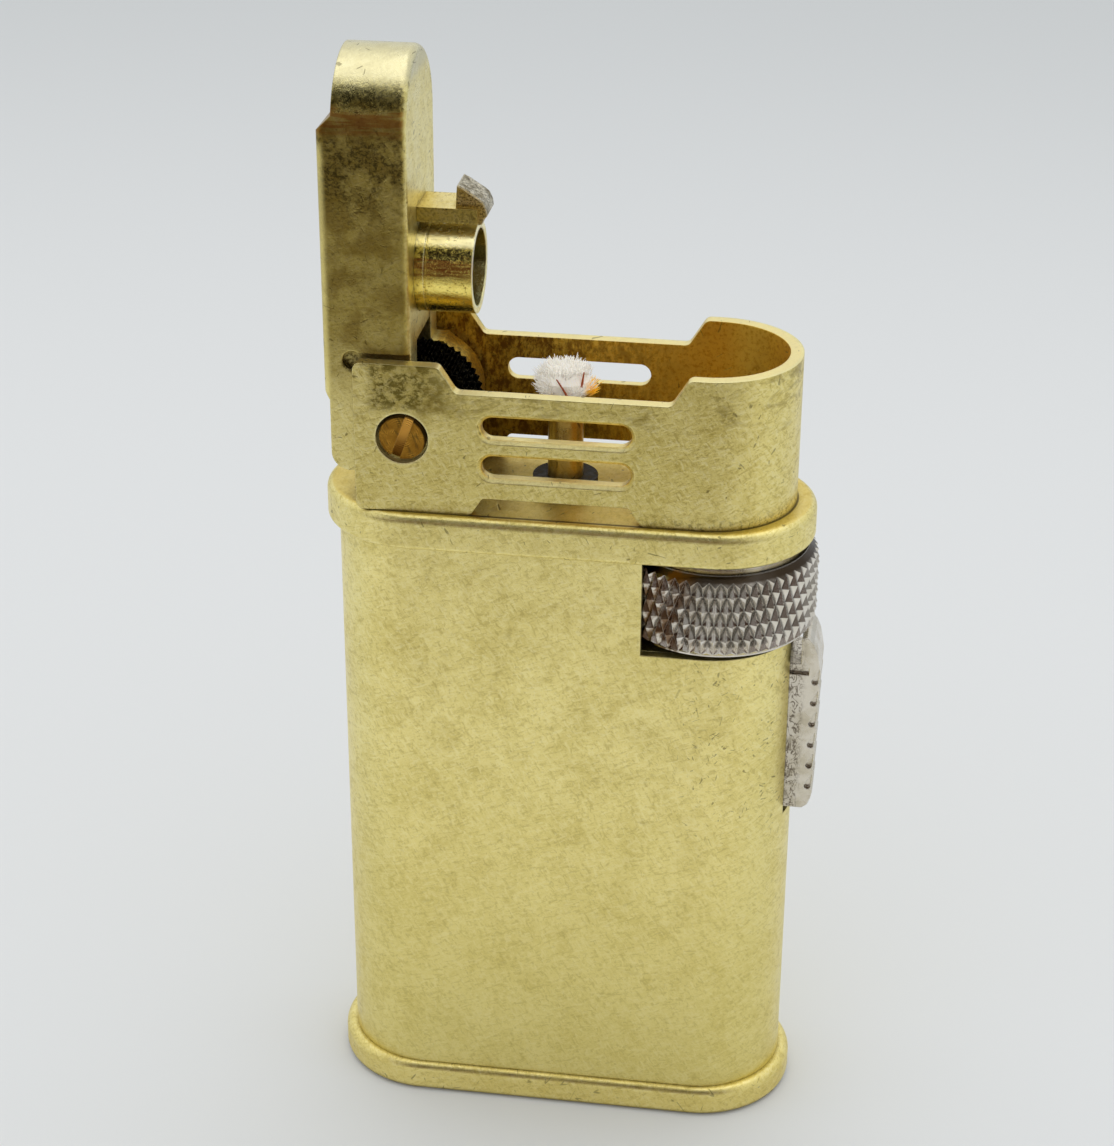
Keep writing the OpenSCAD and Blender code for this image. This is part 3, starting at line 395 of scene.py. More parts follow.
class LIGHTER_OT_finish_body(bpy.types.Operator):
    """Finish the base plate, the shell and the deck plate"""

    bl_idname = "lighter.finish_body"
    bl_label = "Finish body"

    def execute(self, context):
        look = context.scene.lighter_brass
        deck_top = node_box("deck_plate")[1].z
        guard_high = node_box("wind_guard")[1]
        half = guard_high.y

        def handled(s):
            # A few fine marks at the right, where a thumb and a pocket rub
            place = s.times(s.span(s.x, 8.0, 11.0), s.band(s.z, 22.0, 30.0, 40.0, 45.0))
            s.cover(look.dark, s.scratches(0.35, 1.0), place, 0.6)
            # Darker spots of tarnish, and a lower part that is a little more golden
            s.cover(look.deep, s.span(s.noise(1.5, 3.0, 0.6), 0.62, 0.74, 0.0, 0.28))
            s.cover(look.dull, s.span(s.z, 40.0, 6.0, 0.0, 0.35))

        # Brass tube, drawn and tumbled: a soft gloss, full of fine crossing grain
        give(aged_brass("Brass tube, drawn and tumbled", look, 0.9, 0.0, 0.9, extra=handled),
            "body_shell")

        def golden(s):
            # The deck's top and the base's foot are more golden
            top = s.span(s.z, deck_top - 0.12, deck_top - 0.02)
            foot = s.span(s.z, 3.0, 2.0)
            shares = (s.times(top, 0.5), s.times(foot, 0.2))
            s.cover("#DCBC48", s.add("Math", shares, operation="MAXIMUM"))
            # A dark line of dirt lies around the guard's foot, with a little dust outside it
            away = s.add("Math", (s.from_middle(guard_high.x - half), half), operation="SUBTRACT")
            dust = s.times(s.span(away, 0.9, 0.0), s.span(s.noise(0.5, 4.0, 0.7), 0.30, 0.62), 0.12)
            line = s.span(s.add("Math", (away,), operation="ABSOLUTE"), 0.20, 0.08)
            dirt = s.add("Math", (dust, line), operation="MAXIMUM")
            s.cover(look.dark, dirt, top, 0.8)

        # Brass plate, milled and tumbled: the same gloss, with rounded edges
        give(aged_brass("Brass plate, milled and tumbled", look, 0.9, 0.15, 0.35, 0.38, extra=golden),
            "base_plate", "deck_plate")
        return {"FINISHED"}


class LIGHTER_OT_finish_guard(bpy.types.Operator):
    """Finish the wind guard, aged golden inside and at its slots"""

    bl_idname = "lighter.finish_guard"
    bl_label = "Finish guard"

    def execute(self, context):
        look = context.scene.lighter_brass
        low, high = node_box("wind_guard")
        half = high.y
        end_x = high.x - half
        screw_low, screw_high = node_box("pivot_screw")
        screw = (screw_low + screw_high) / 2
        head = (screw_high.x - screw_low.x) / 2

        def aged_inside(s):
            reach = s.from_middle(end_x)
            wall = s.span(reach, half - 0.12, half - 0.3)
            inner = s.span(reach, half - 0.85, half - 0.97)
            # Smudges of dark tarnish at the upper left, and a cloudy band under the top edge
            blots = s.span(s.noise((0.9, 0.9, 0.7), 5.0, 0.78, warp=0.1), 0.43, 0.56)
            upper = s.times(s.span(s.z, screw.z + 1.7, screw.z + 2.9),
                s.band(s.x, low.x + 0.8, low.x + 1.7, screw.x + 1.0, screw.x + 5.0))
            s.cover("#85702A", upper, 0.45)
            s.cover("#3A3314", blots, upper, 0.9)
            smudge = s.times(s.span(s.noise((2.6, 2.6, 1.2), 4.0, 0.66, warp=0.5), 0.48, 0.68),
                s.span(s.z, screw.z + 0.5, screw.z + 3.0))
            s.cover("#C2AC46", 0.2)
            s.cover("#887430", smudge, 0.6)
            # Specks along the foot at the right
            foot = s.times(s.span(s.z, low.z + 1.5, low.z + 0.2), s.span(s.x, 4.0, 9.0))
            bits = s.span(s.noise(0.3, 3.0, 0.7), 0.50, 0.60)
            s.cover(look.dark, bits, foot, 0.45)
            # Worn rim of the screw's hole, and painted shadow on the upper part of its wall
            around = s.ring(screw, "xz")
            rim = s.times(s.span(around, head + 0.45, head + 0.15), s.span(s.y, 0.0, -3.0))
            s.cover(look.bright, rim, 0.6)
            hole = s.times(rim, wall)
            s.cover(look.grime_and_shade, hole, s.span(s.z, screw.z - 0.6, screw.z + 0.6, 0.0, 0.9))
            # Golden and grainy in the slots and inside, browner to the left, and darker to the foot
            # with painted shade
            golden = s.over(look.golden, look.amber, s.span(s.noise(0.3, 4.0, 0.7), 0.34, 0.54))
            s.cover(golden, s.add("Math", (wall, hole), operation="SUBTRACT"), 0.6)
            left = s.span(s.x, end_x + 1.0, -4.0)
            streak = s.span(s.noise((0.5, 0.5, 0.9), 5.0, 0.7), 0.40, 0.60)
            s.cover(s.over(golden, look.brown, s.times(streak, left)), inner, 0.95)
            # Painted shade deeper inside the guard, towards its foot
            depth = s.span(s.z, high.z - 2.5, low.z + 1.0, 0.0, 0.5)
            s.cover(look.dark, inner, depth, left)
            # Edges that look up are worn, and get a painted highlight
            s.cover(look.bright, s.upward(0.5, 0.8), 0.65)
            s.roughen(inner, 0.06)

        # Brass sheet, bent and milled: grainy outside, golden and duller inside
        give(aged_brass("Brass sheet, bent and milled", look, 1.2, 0.1, 1.0, 0.37, 1.5, aged_inside),
            "wind_guard")
        return {"FINISHED"}


class LIGHTER_OT_finish_lid(bpy.types.Operator):
    """Finish the lid with its dark patina, the latch arm and the claw"""

    bl_idname = "lighter.finish_lid"
    bl_label = "Finish lid"

    def execute(self, context):
        look = context.scene.lighter_brass
        low, high = node_box("lid")
        top = high.z
        hinge = joint_place("lid_hinge")
        face_x = hinge.x + 0.45

        def patina(s):
            # The black olive patina lies on the outside. The inner face is pale
            outer = s.span(s.x, face_x, face_x - 0.3)
            fine = s.noise((0.3, 0.3, 0.26), 5.0, 0.74, warp=0.5)
            blots = s.noise(2.6, 3.0, 0.6, warp=0.4)
            body = s.times(s.band(s.z, top - 27.0, top - 19.0, top - 3.2, top - 2.0), outer)
            s.cover("#9C862C", body, 0.65)
            s.cover("#755A14", body, s.span(blots, 0.40, 0.62, 0.1, 0.6))
            s.cover(look.dark, body, s.span(fine, 0.52, 0.66, 0.0, 0.45))
            # Black specks in a band near the top add a painted reflection of the dark board; dark blots
            # lie lower down
            upper = s.band(s.z, top - 3.8, top - 3.2, top - 2.1, top - 1.3)
            middle = s.times(s.band(s.z, top - 12.5, top - 8.5, top - 6.0, top - 5.0),
                s.span(blots, 0.40, 0.56))
            s.cover("#252110", s.add("Math", (upper, middle), operation="MAXIMUM"), outer,
                s.span(fine, 0.40, 0.60, 0.15, 1.0), 0.68)
            # The outer edge is rubbed pale below the shoulder
            rim = s.times(s.span(s.x, low.x + 0.75, low.x + 0.4), s.span(s.z, top - 5.6, top - 6.4))
            s.cover(look.pale, rim, 0.5)
            # Reddish copper in a band of thin lines, which adds a painted reflection of the brown card
            lines = s.span(s.noise((3.5, 3.5, 0.35), 4.0, 0.6), 0.44, 0.58)
            near = s.band(s.z, top - 5.6, top - 4.8, top - 3.7, top - 3.0)
            s.cover("#8E5014", lines, near, outer, 0.6)
            # The fork beside the flint wheel is golden brown
            fork = s.times(s.span(s.x, face_x + 0.2, face_x + 0.7),
                s.span(s.z, hinge.z + 8.5, hinge.z + 7.5))
            s.cover(s.over("#DDB63E", "#A8862A", s.span(fine, 0.42, 0.58)), fork, 0.85)
            # A bead of dirt sits where the lid meets the guard's corner
            bead = s.span(s.ring(Vector((low.x + 2.1, 0, hinge.z + 5.2)), "xz"), 0.8, 0.5)
            s.cover(look.dark, bead, s.span(fine, 0.40, 0.55, 0.2, 0.9))
            # Nicks, and a paler, smoother tip
            nicks = s.span(s.noise((0.5, 0.35, 1.1), 2.0, 0.6), 0.73, 0.77)
            s.cover(look.dark, nicks, 0.6)
            s.cover("#CFCBB0", s.span(s.z, top - 2.4, top - 1.2, 0.0, 0.65))
            s.roughen(s.span(s.z, top - 4.2, top - 3.2), -0.06)

        # Brass bar, milled, with a black patina: mottled outside, pale and glossy at the tip
        give(aged_brass("Brass bar, milled and patinated", look, 0.8, 0.2, 0.8, 0.34, 1.1, patina),
            "lid")

        arm_front = node_box("latch_arm")[0].y

        def toned(s):
            s.cover(look.amber, 0.3)
            front = s.span(s.y, arm_front + 0.12, arm_front + 0.03, 0.0, 0.75)
            s.cover("#9C8434", front)
            bits = s.span(s.noise(0.24, 4.0, 0.7), 0.46, 0.60, 0.0, 0.65)
            s.cover(look.dark, front, bits)

        # Brass strip, filed: bright on top, dull and speckled at the front
        give(aged_brass("Brass strip, filed", look, 0.9, 0.3, 1.0, 0.3, 1.6, toned), "latch_arm")

        # Steel, cut and filed rough: pale lumps and dark grit, with brazing metal below
        s = Shader("Steel, cut and filed rough")
        claw_low, claw_high = node_box("latch_claw")
        lumps = s.noise(0.8, 3.0, 0.6)
        grit = s.noise(0.15, 3.0, 0.7)
        edge, rounded = s.edge(0.16)
        braze = s.add("Math", (s.span(s.y, claw_low.y + 0.4, claw_low.y + 0.05),
            s.span(s.z, claw_high.z - 2.0, claw_high.z - 2.6)), operation="MAXIMUM")
        s.colour = s.over("#8C8266", "#E2DAC2", s.span(lumps, 0.35, 0.65))
        s.cover("#B99B4E", braze, 0.85)
        s.cover("#3E3219", s.span(grit, 0.46, 0.60, 0.0, 0.8))
        s.cover("#F0E6C4", edge, 0.5)
        normal = s.relief(rounded, (lumps, 0.12), (grit, 0.05))
        give(s.metal(s.span(lumps, 0.3, 0.7, 0.42, 0.26), normal), "latch_claw")
        return {"FINISHED"}


class LIGHTER_OT_finish_snuffer(bpy.types.Operator):
    """Finish the turned snuffer cup"""

    bl_idname = "lighter.finish_snuffer"
    bl_label = "Finish snuffer"

    def execute(self, context):
        look = context.scene.lighter_brass
        low, high = node_box("snuffer_cup")
        centre = (low + high) / 2
        bore_r = (high.z - low.z) / 2 - 0.5
        # Brass rod, turned and polished, then pitted: sharp highlights with a crinkled edge
        s = Shader("Brass rod, turned")
        rings = s.noise((0.09, 40.0, 40.0), 3.0, 0.7)
        crinkle = s.noise(0.26, 4.0, 0.7, warp=0.5)
        pits = s.span(s.noise(0.22, 3.0, 0.7), 0.58, 0.66)
        clouds = s.noise(1.2, 4.0, 0.6)
        edge, rounded = s.edge(0.12)
        reach = s.ring(centre, "yz")
        front = s.span(s.y, centre.y, centre.y - 1.0)
        s.colour = s.over("#F5E27E", "#DCC056", s.span(clouds, 0.4, 0.7, 0.0, 0.5))
        # Dirt in the pits, thickest in a band at the front that adds a painted reflection of the dark
        # board, and copper lines below it
        dirt = s.times(front, s.band(s.z, centre.z + 0.8, centre.z + 1.4, high.z - 1.3, high.z - 1.0))
        s.cover(look.dark, dirt, s.span(crinkle, 0.42, 0.56), 0.85)
        # The copper lines lie in a band that adds a painted reflection of the brown card
        lines = s.span(s.noise((4.0, 0.3, 0.3), 4.0, 0.66), 0.40, 0.56)
        red = s.band(s.z, centre.z - 0.2, centre.z + 0.5, centre.z + 1.4, centre.z + 2.0)
        s.cover("#9A5A26", lines, front, red, 0.7)
        s.cover(look.dark, pits, 0.55)
        # The bore gets a painted reflection: golden above, black in the middle and pale below
        bore = s.span(reach, bore_r + 0.12, bore_r - 0.02)
        bore_reflection = s.over("#1C1B14", "#A8893A", s.span(s.z, centre.z + 0.5, centre.z + 1.0))
        bore_reflection = s.over(bore_reflection, "#E4E3B4", s.span(s.z, centre.z - 0.3, centre.z - 0.9))
        s.cover(bore_reflection, bore, 0.75)
        s.cover(look.bright, edge, 0.7)
        # Grime at the root, and a painted highlight on the crown
        root = s.span(s.x, low.x + 1.0, low.x + 0.5)
        s.cover(look.grime_and_shade, root, s.span(crinkle, 0.35, 0.6, 0.1, 0.6))
        crown = s.times(s.span(s.z, high.z - 1.3, high.z - 1.0), s.span(reach, bore_r, bore_r + 0.2))
        s.cover("#FFF6C4", crown, 0.95)
        s.rough = s.span(clouds, 0.35, 0.7, look.polish, look.polish + 0.1)
        s.roughen(crown, 0.08)
        normal = s.relief(rounded, (rings, 0.010), (crinkle, 0.022), (pits, -0.02))
        give(s.metal(s.rough, normal), "snuffer_cup")
        return {"FINISHED"}


class LIGHTER_OT_finish_screws(bpy.types.Operator):
    """Finish the hinge screw, the filler screw and the flint screw"""

    bl_idname = "lighter.finish_screws"
    bl_label = "Finish screws"

    def execute(self, context):
        look = context.scene.lighter_brass
        low, high = node_box("pivot_screw")
        centre = (low + high) / 2
        head = (high.x - low.x) / 2
        # Brass screw, turned, its head darkened by heat: brown with a golden slot
        s = Shader("Brass screw, turned")
        turning = s.add("Math", (s.times(s.ring(centre, "xz"), SCREW_LINES),), operation="SINE")
        rings = s.add("Math", (turning, 0.5, 0.5), operation="MULTIPLY_ADD")
        clouds = s.noise(0.9, 4.0, 0.6)
        streak = s.noise((0.3, 0.3, 1.4), 4.0, 0.66, 0.44)
        edge, rounded = s.edge(0.1)
        s.colour = s.over(look.screw, look.brown, s.span(clouds, 0.35, 0.7, 0.1, 0.8))
        s.cover(look.dark, s.span(streak, 0.50, 0.66, 0.0, 0.6))
        # The slot's bottom is bright above and brown below, and its walls get painted shade
        floor = s.span(s.y, low.y + 0.12, low.y + 0.24)
        slot = s.over("#6E4616", "#E6AC50", s.span(s.z, centre.z - 1.1, centre.z + 0.5))
        s.cover(slot, floor, 0.85)
        wall = s.band(s.y, low.y + 0.03, low.y + 0.08, low.y + 0.16, low.y + 0.24)
        s.cover(look.grime_and_shade, wall, 0.75)
        s.cover("#E8B45C", edge, 0.45)
        # The head stands deep in its hole, and its upper right edge gets a black painted shadow
        shaded = s.ring(centre + Vector((-0.16, 0, -0.30)), "xz")
        s.cover("#120D06", s.span(shaded, head - 0.12, head + 0.04, 0.0, 0.92))
        normal = s.relief(rounded, (rings, 0.006), (clouds, 0.03))
        give(s.metal(s.span(clouds, 0.3, 0.7, 0.24, 0.36), normal), "pivot_screw")
        # Brass screws in the base, turned: like the plates, a little glossier
        give(aged_brass("Brass screws, turned", look, 0.9, 0.4, 1.0, 0.28),
            "filler_screw", "flint_screw")
        return {"FINISHED"}


class LIGHTER_OT_finish_flint_wheel(bpy.types.Operator):
    """Finish the flint wheel, hardened and blackened"""

    bl_idname = "lighter.finish_flint_wheel"
    bl_label = "Finish flint wheel"

    def execute(self, context):
        steel = context.scene.lighter_steel
        low, high = node_box("flint_wheel")
        centre = (low + high) / 2
        # Tool steel, cross-cut, hardened and blackened: black, with faint glints on the cuts
        s = Shader("Tool steel, hardened and blackened")
        rise = s.add("Math", (s.z, centre.z), operation="SUBTRACT")
        run = s.add("Math", (s.x, centre.x), operation="SUBTRACT")
        around = s.times(s.add("Math", (rise, run), operation="ARCTAN2"), CUTS_AROUND)
        waves = []
        for way in ("SUBTRACT", "ADD"):
            angle = s.add("Math", (around, s.times(s.y, CUT_LEAN)), operation=way)
            waves.append(s.add("Math", (angle,), operation="SINE"))
        cuts = s.add("Math", waves, operation="MINIMUM")
        cuts = s.add("Math", (cuts, 0.5, 0.5), operation="MULTIPLY_ADD")
        cuts = s.times(cuts, s.span(s.ring(centre, "xz"), 3.9, 4.2))
        wear = s.noise(0.8, 4.0, 0.6)
        edge, rounded = s.edge(0.07)
        s.colour = s.over(steel.black, steel.grey, s.span(wear, 0.5, 0.75, 0.0, 0.05))
        s.cover(steel.grey, s.span(cuts, 0.75, 0.95), 0.07)
        s.cover(steel.grey, edge, 0.08)
        # The oxide keeps the steel dark at a flat angle too
        give(s.metal(s.span(wear, 0.3, 0.7, 0.30, 0.45), s.relief(rounded, (cuts, 0.10)),
            **{"Specular Tint": "#817E79"}), "flint_wheel")
        return {"FINISHED"}


class LIGHTER_OT_finish_nickel(bpy.types.Operator):
    """Finish the thumb wheel and the side lever, plated with nickel"""

    bl_idname = "lighter.finish_nickel"
    bl_label = "Finish nickel"

    def execute(self, context):
        steel = context.scene.lighter_steel
        low, high = node_box("thumb_wheel")
        axis = joint_place("thumb_wheel_turn")
        crest = (high.y - low.y) / 2

        # Nickel plate on knurled steel: bright points, with dirt and painted shade in the valleys
        s = Shader("Nickel plate on knurled steel")
        reach = s.ring(axis, "xy")
        rim = s.span(reach, crest - 1.2, crest - 0.9)
        inside = s.band(s.z, low.z + 0.75, low.z + 0.95, high.z - 0.95, high.z - 0.75)
        valley_dirt_and_shade = s.times(s.span(reach, crest - 0.30, crest - 0.46), rim, inside)
        clouds = s.noise(2.2, 4.0, 0.6)
        grain = s.noise(0.12, 2.0, 0.6)
        edge, rounded = s.edge(0.04)
        s.colour = s.over(steel.nickel, "#BDB4A0", s.span(clouds, 0.35, 0.7, 0.0, 0.4))
        s.cover(steel.nickel_dirt_and_shade, valley_dirt_and_shade, 0.9)
        # Dust and oil, and a painted dark reflection of the deck above, darken the facets that look up
        dust = s.times(s.upward(0.12, 0.4), s.span(clouds, 0.3, 0.6, 0.62, 0.95), rim, inside)
        s.cover("#382E22", dust)
        # Rust at the left, and a black chamfer under the deck, darkened with painted shade
        rust = s.times(s.span(s.noise(1.1, 4.0, 0.65), 0.40, 0.56),
            s.span(s.x, axis.x - 0.4, axis.x - 2.6))
        s.cover("#6A4614", rust, 0.85)
        s.cover("#F7F3EA", edge, 0.4)
        chamfer = s.times(s.span(s.z, high.z - 0.85, high.z - 0.70),
            s.span(s.x, axis.x + 6.5, axis.x + 4.5))
        s.cover("#1A130E", chamfer, 0.93)
        give(s.metal(s.span(clouds, 0.3, 0.7, 0.16, 0.28), s.relief(rounded, (grain, 0.004))),
            "thumb_wheel")

        # Nickel plate on cast steel, worn: soft and pale, with brown dirt beside the slot
        s = Shader("Nickel plate on cast steel")
        lever_x = node_box("side_lever")[1].x
        clouds = s.noise(1.6, 4.0, 0.65)
        grain = s.noise(0.14, 3.0, 0.6)
        edge, rounded = s.edge(0.12)
        root = s.span(s.x, lever_x - 1.0, lever_x - 1.75)
        lines = s.hair(s.noise((0.5, 0.5, 0.9), 3.0, 0.6, warp=0.8), 0.045, 0.015)
        blots = s.add("Math", (lines, s.span(clouds, 0.56, 0.66, 0.0, 0.5)), operation="MAXIMUM")
        s.colour = s.over(steel.nickel, "#BDB49C", s.span(clouds, 0.35, 0.7, 0.35, 0.85))
        s.cover("#3E2C16", root, s.add("Math", (blots, 0.7, 0.08), operation="MULTIPLY_ADD"))
        # Painted shade in the corners, where ambient occlusion finds them, with a little dirt
        s.cover(steel.nickel_dirt_and_shade, s.crevice(0.2), 0.15)
        s.cover("#FAF7F0", edge, 0.7)
        give(s.metal(s.span(clouds, 0.3, 0.7, 0.2, 0.32), s.relief(rounded, (grain, 0.008))),
            "side_lever")
        return {"FINISHED"}


class LIGHTER_OT_finish_inner(bpy.types.Operator):
    """Finish the pieces that the body hides"""

    bl_idname = "lighter.finish_inner"
    bl_label = "Finish inner pieces"

    def execute(self, context):
        look = context.scene.lighter_brass
        steel = context.scene.lighter_steel

        def heat(s):
            s.cover(look.golden, s.span(s.z, 56.0, 60.5, 0.35, 0.75))

        # Brass tube for the wick, stained by heat: golden towards the flame
        give(aged_brass("Brass tube, stained by heat", look, 1.2, 0.3, 0.8, 0.34, extra=heat),
            "wick_tube")
        # Brass, turned: clean and glossy
        give(aged_brass("Brass, turned", look, 0.6, 0.5, 0.8, 0.27),
            "flint_tube", "flint_follower", "pivot_bush", "drive_pawl", "wheel_bed")

        # Brass collar under soot: nearly black, with brass in the gaps
        s = Shader("Brass collar under soot")
        soot = s.noise(0.7, 4.0, 0.7)
        give(s.close({"Base Color": s.over("#171614", "#6A5320", s.span(soot, 0.45, 0.8, 0.0, 0.5)),
            "Metallic": 0.4, "Roughness": s.span(soot, 0.3, 0.7, 0.35, 0.7),
            "Normal": s.relief(None, (soot, 0.05))}), "wick_collar")

        # Tinned sheet steel, soldered: grey, with a faint spangle
        s = Shader("Tinned sheet steel")
        cells = s.add("TexVoronoi", {"Vector": s.scaled((3.0, 3.0, 3.0)), "Scale": 1.0}, "Color")
        cloud = s.noise(2.4, 3.0, 0.6)
        s.colour = s.over("#C9CBC8", "#8F928E", s.span(cloud, 0.35, 0.7, 0.0, 0.5))
        s.cover(cells, 0.08)
        give(s.metal(s.span(cloud, 0.3, 0.7, 0.25, 0.42), s.relief(None, (cloud, 0.02))),
            "fuel_tank", "tank_cover")

        # Spring steel, drawn and oiled: grey and glossy, with lines along the wire
        s = Shader("Spring steel, drawn and oiled")
        lines = s.noise((0.1, 0.1, 1.8), 3.0, 0.6)
        s.colour = s.over(steel.spring, "#6C6A66", s.span(lines, 0.35, 0.7))
        give(s.metal(s.span(lines, 0.3, 0.7, 0.2, 0.34), s.relief(None, (lines, 0.006))),
            "flint_spring", "lid_spring", "lever_spring", "lever_pin", "wheel_axle")

        # Sheet steel, stamped: dull grey under a thin brown film
        s = Shader("Sheet steel, stamped")
        film = s.noise(1.4, 4.0, 0.65)
        edge, rounded = s.edge(0.08)
        s.colour = s.over("#8E9196", "#5C4A35", s.span(film, 0.4, 0.7))
        s.cover(steel.spring, edge, 0.5)
        give(s.metal(s.span(film, 0.3, 0.7, 0.3, 0.48), rounded),
            "catch_slide", "lever_bracket", "wheel_washer")

        # Phosphor bronze, stamped: reddish and smooth
        s = Shader("Phosphor bronze, stamped")
        film = s.noise(0.9, 3.0, 0.6)
        s.colour = s.over("#C98F5A", "#8A5A34", s.span(film, 0.35, 0.7))
        give(s.metal(s.span(film, 0.3, 0.7, 0.24, 0.38)), "hinge_washers")

        # Ferrocerium, pressed and sintered: dark, grainy and dull
        s = Shader("Ferrocerium, pressed")
        grain = s.noise(0.2, 4.0, 0.7)
        give(s.close({"Base Color": s.over("#3A3937", "#6B6862", s.span(grain, 0.35, 0.7)),
            "Metallic": 0.7, "Roughness": 0.6, "Normal": s.relief(None, (grain, 0.03))}), "flint")

        # Nitrile rubber, moulded: black and matt
        s = Shader("Nitrile rubber, moulded")
        grain = s.noise(0.3, 3.0, 0.6)
        give(s.close({"Base Color": s.over("#1B1B1C", "#2C2C2D", s.span(grain, 0.3, 0.7)),
            "Roughness": 0.65, "Normal": s.relief(None, (grain, 0.01))}), "filler_washer")

        # Cotton wadding, carded: off-white and fibrous
        s = Shader("Cotton wadding, carded")
        fibres = s.noise((0.25, 0.25, 1.0), 5.0, 0.7, 0.5, 1.0)
        give(s.close({"Base Color": s.over("#CFC9BA", "#EFEBE0", s.span(fibres, 0.35, 0.65)),
            "Roughness": 0.95, "Normal": s.relief(None, (fibres, 0.12))}), "tank_packing")
        return {"FINISHED"}


def grow_strand(bm, root, heading, length, radius, bend, sides=4, steps=4):
    """Adds one tapered strand that starts at root along heading and bends towards another direction."""
    turn = heading.to_track_quat("Z", "Y").to_matrix().to_4x4()
    ring = bmesh.ops.create_circle(bm, cap_ends=True, segments=sides, radius=radius,
        matrix=Matrix.Translation(root) @ turn)
    edges = list({e for v in ring["verts"] for e in v.link_edges})
    place = root.copy()
    way = heading.normalized()
    for step in range(1, steps + 1):
        way = (way + bend * (1.6 / steps)).normalized()
        place = place + way * (length / steps)
        made = bmesh.ops.extrude_edge_only(bm, edges=edges)["geom"]
        verts = [g for g in made if isinstance(g, bmesh.types.BMVert)]
        edges = [g for g in made if isinstance(g, bmesh.types.BMEdge)
            and all(v in verts for v in g.verts)]
        centre = sum((v.co for v in verts), Vector()) / len(verts)
        share = 1 - 0.55 * step / steps
        for v in verts:
            v.co = place + (v.co - centre).normalized() * radius * share
    bmesh.ops.contextual_create(bm, geom=edges)


def finished(name, bm, material):
    """An object from a bmesh, with its faces turned outwards and shaded smooth."""
    bmesh.ops.recalc_face_normals(bm, faces=bm.faces)
    mesh = bpy.data.meshes.new(name)
    bm.to_mesh(mesh)
    bm.free()
    for polygon in mesh.polygons:
        polygon.use_smooth = True
    mesh.materials.append(material)
    obj = bpy.data.objects.new(name, mesh)
    bpy.context.scene.collection.objects.link(obj)
    return obj


def cotton(name, look, axis):
    """Cotton: white and soft, with a fuel stain at the right of the wick's axis, a brown root, and a
    faint painted glow.
    """
    s = Shader(name)
    root = axis * 1000
    fibres = s.noise((0.12, 0.12, 0.9), 4.0, 0.7, 0.3, 1.0)
    stained = s.times(s.span(s.x, root.x + 1.5, root.x + 1.9), s.span(s.z, root.z + 1.3, root.z + 0.9),
        s.span(s.noise(0.8, 3.0, 0.6), 0.3, 0.45))
    s.colour = s.over(look.lint, "#EFE9DC", s.span(fibres, 0.3, 0.7))
    s.cover(look.stain, stained)
    s.cover("#C9A468", s.span(s.z, root.z + 0.6, root.z - 0.2, 0.0, 0.75))
    return s.close({"Base Color": s.colour, "Roughness": 0.92, "Sheen Roughness": 0.6,
        "Sheen Weight": s.add("Math", (stained, -0.85, 0.9), operation="MULTIPLY_ADD"),
        # The cotton glows faintly: painted light in place of the light scattered among its fibres
        "Emission Color": s.colour, "Emission Strength": 0.14,
        "Subsurface Weight": 0.12, "Subsurface Radius": (0.0005, 0.0004, 0.0003),
        "Normal": s.relief(None, (fibres, 0.03))})


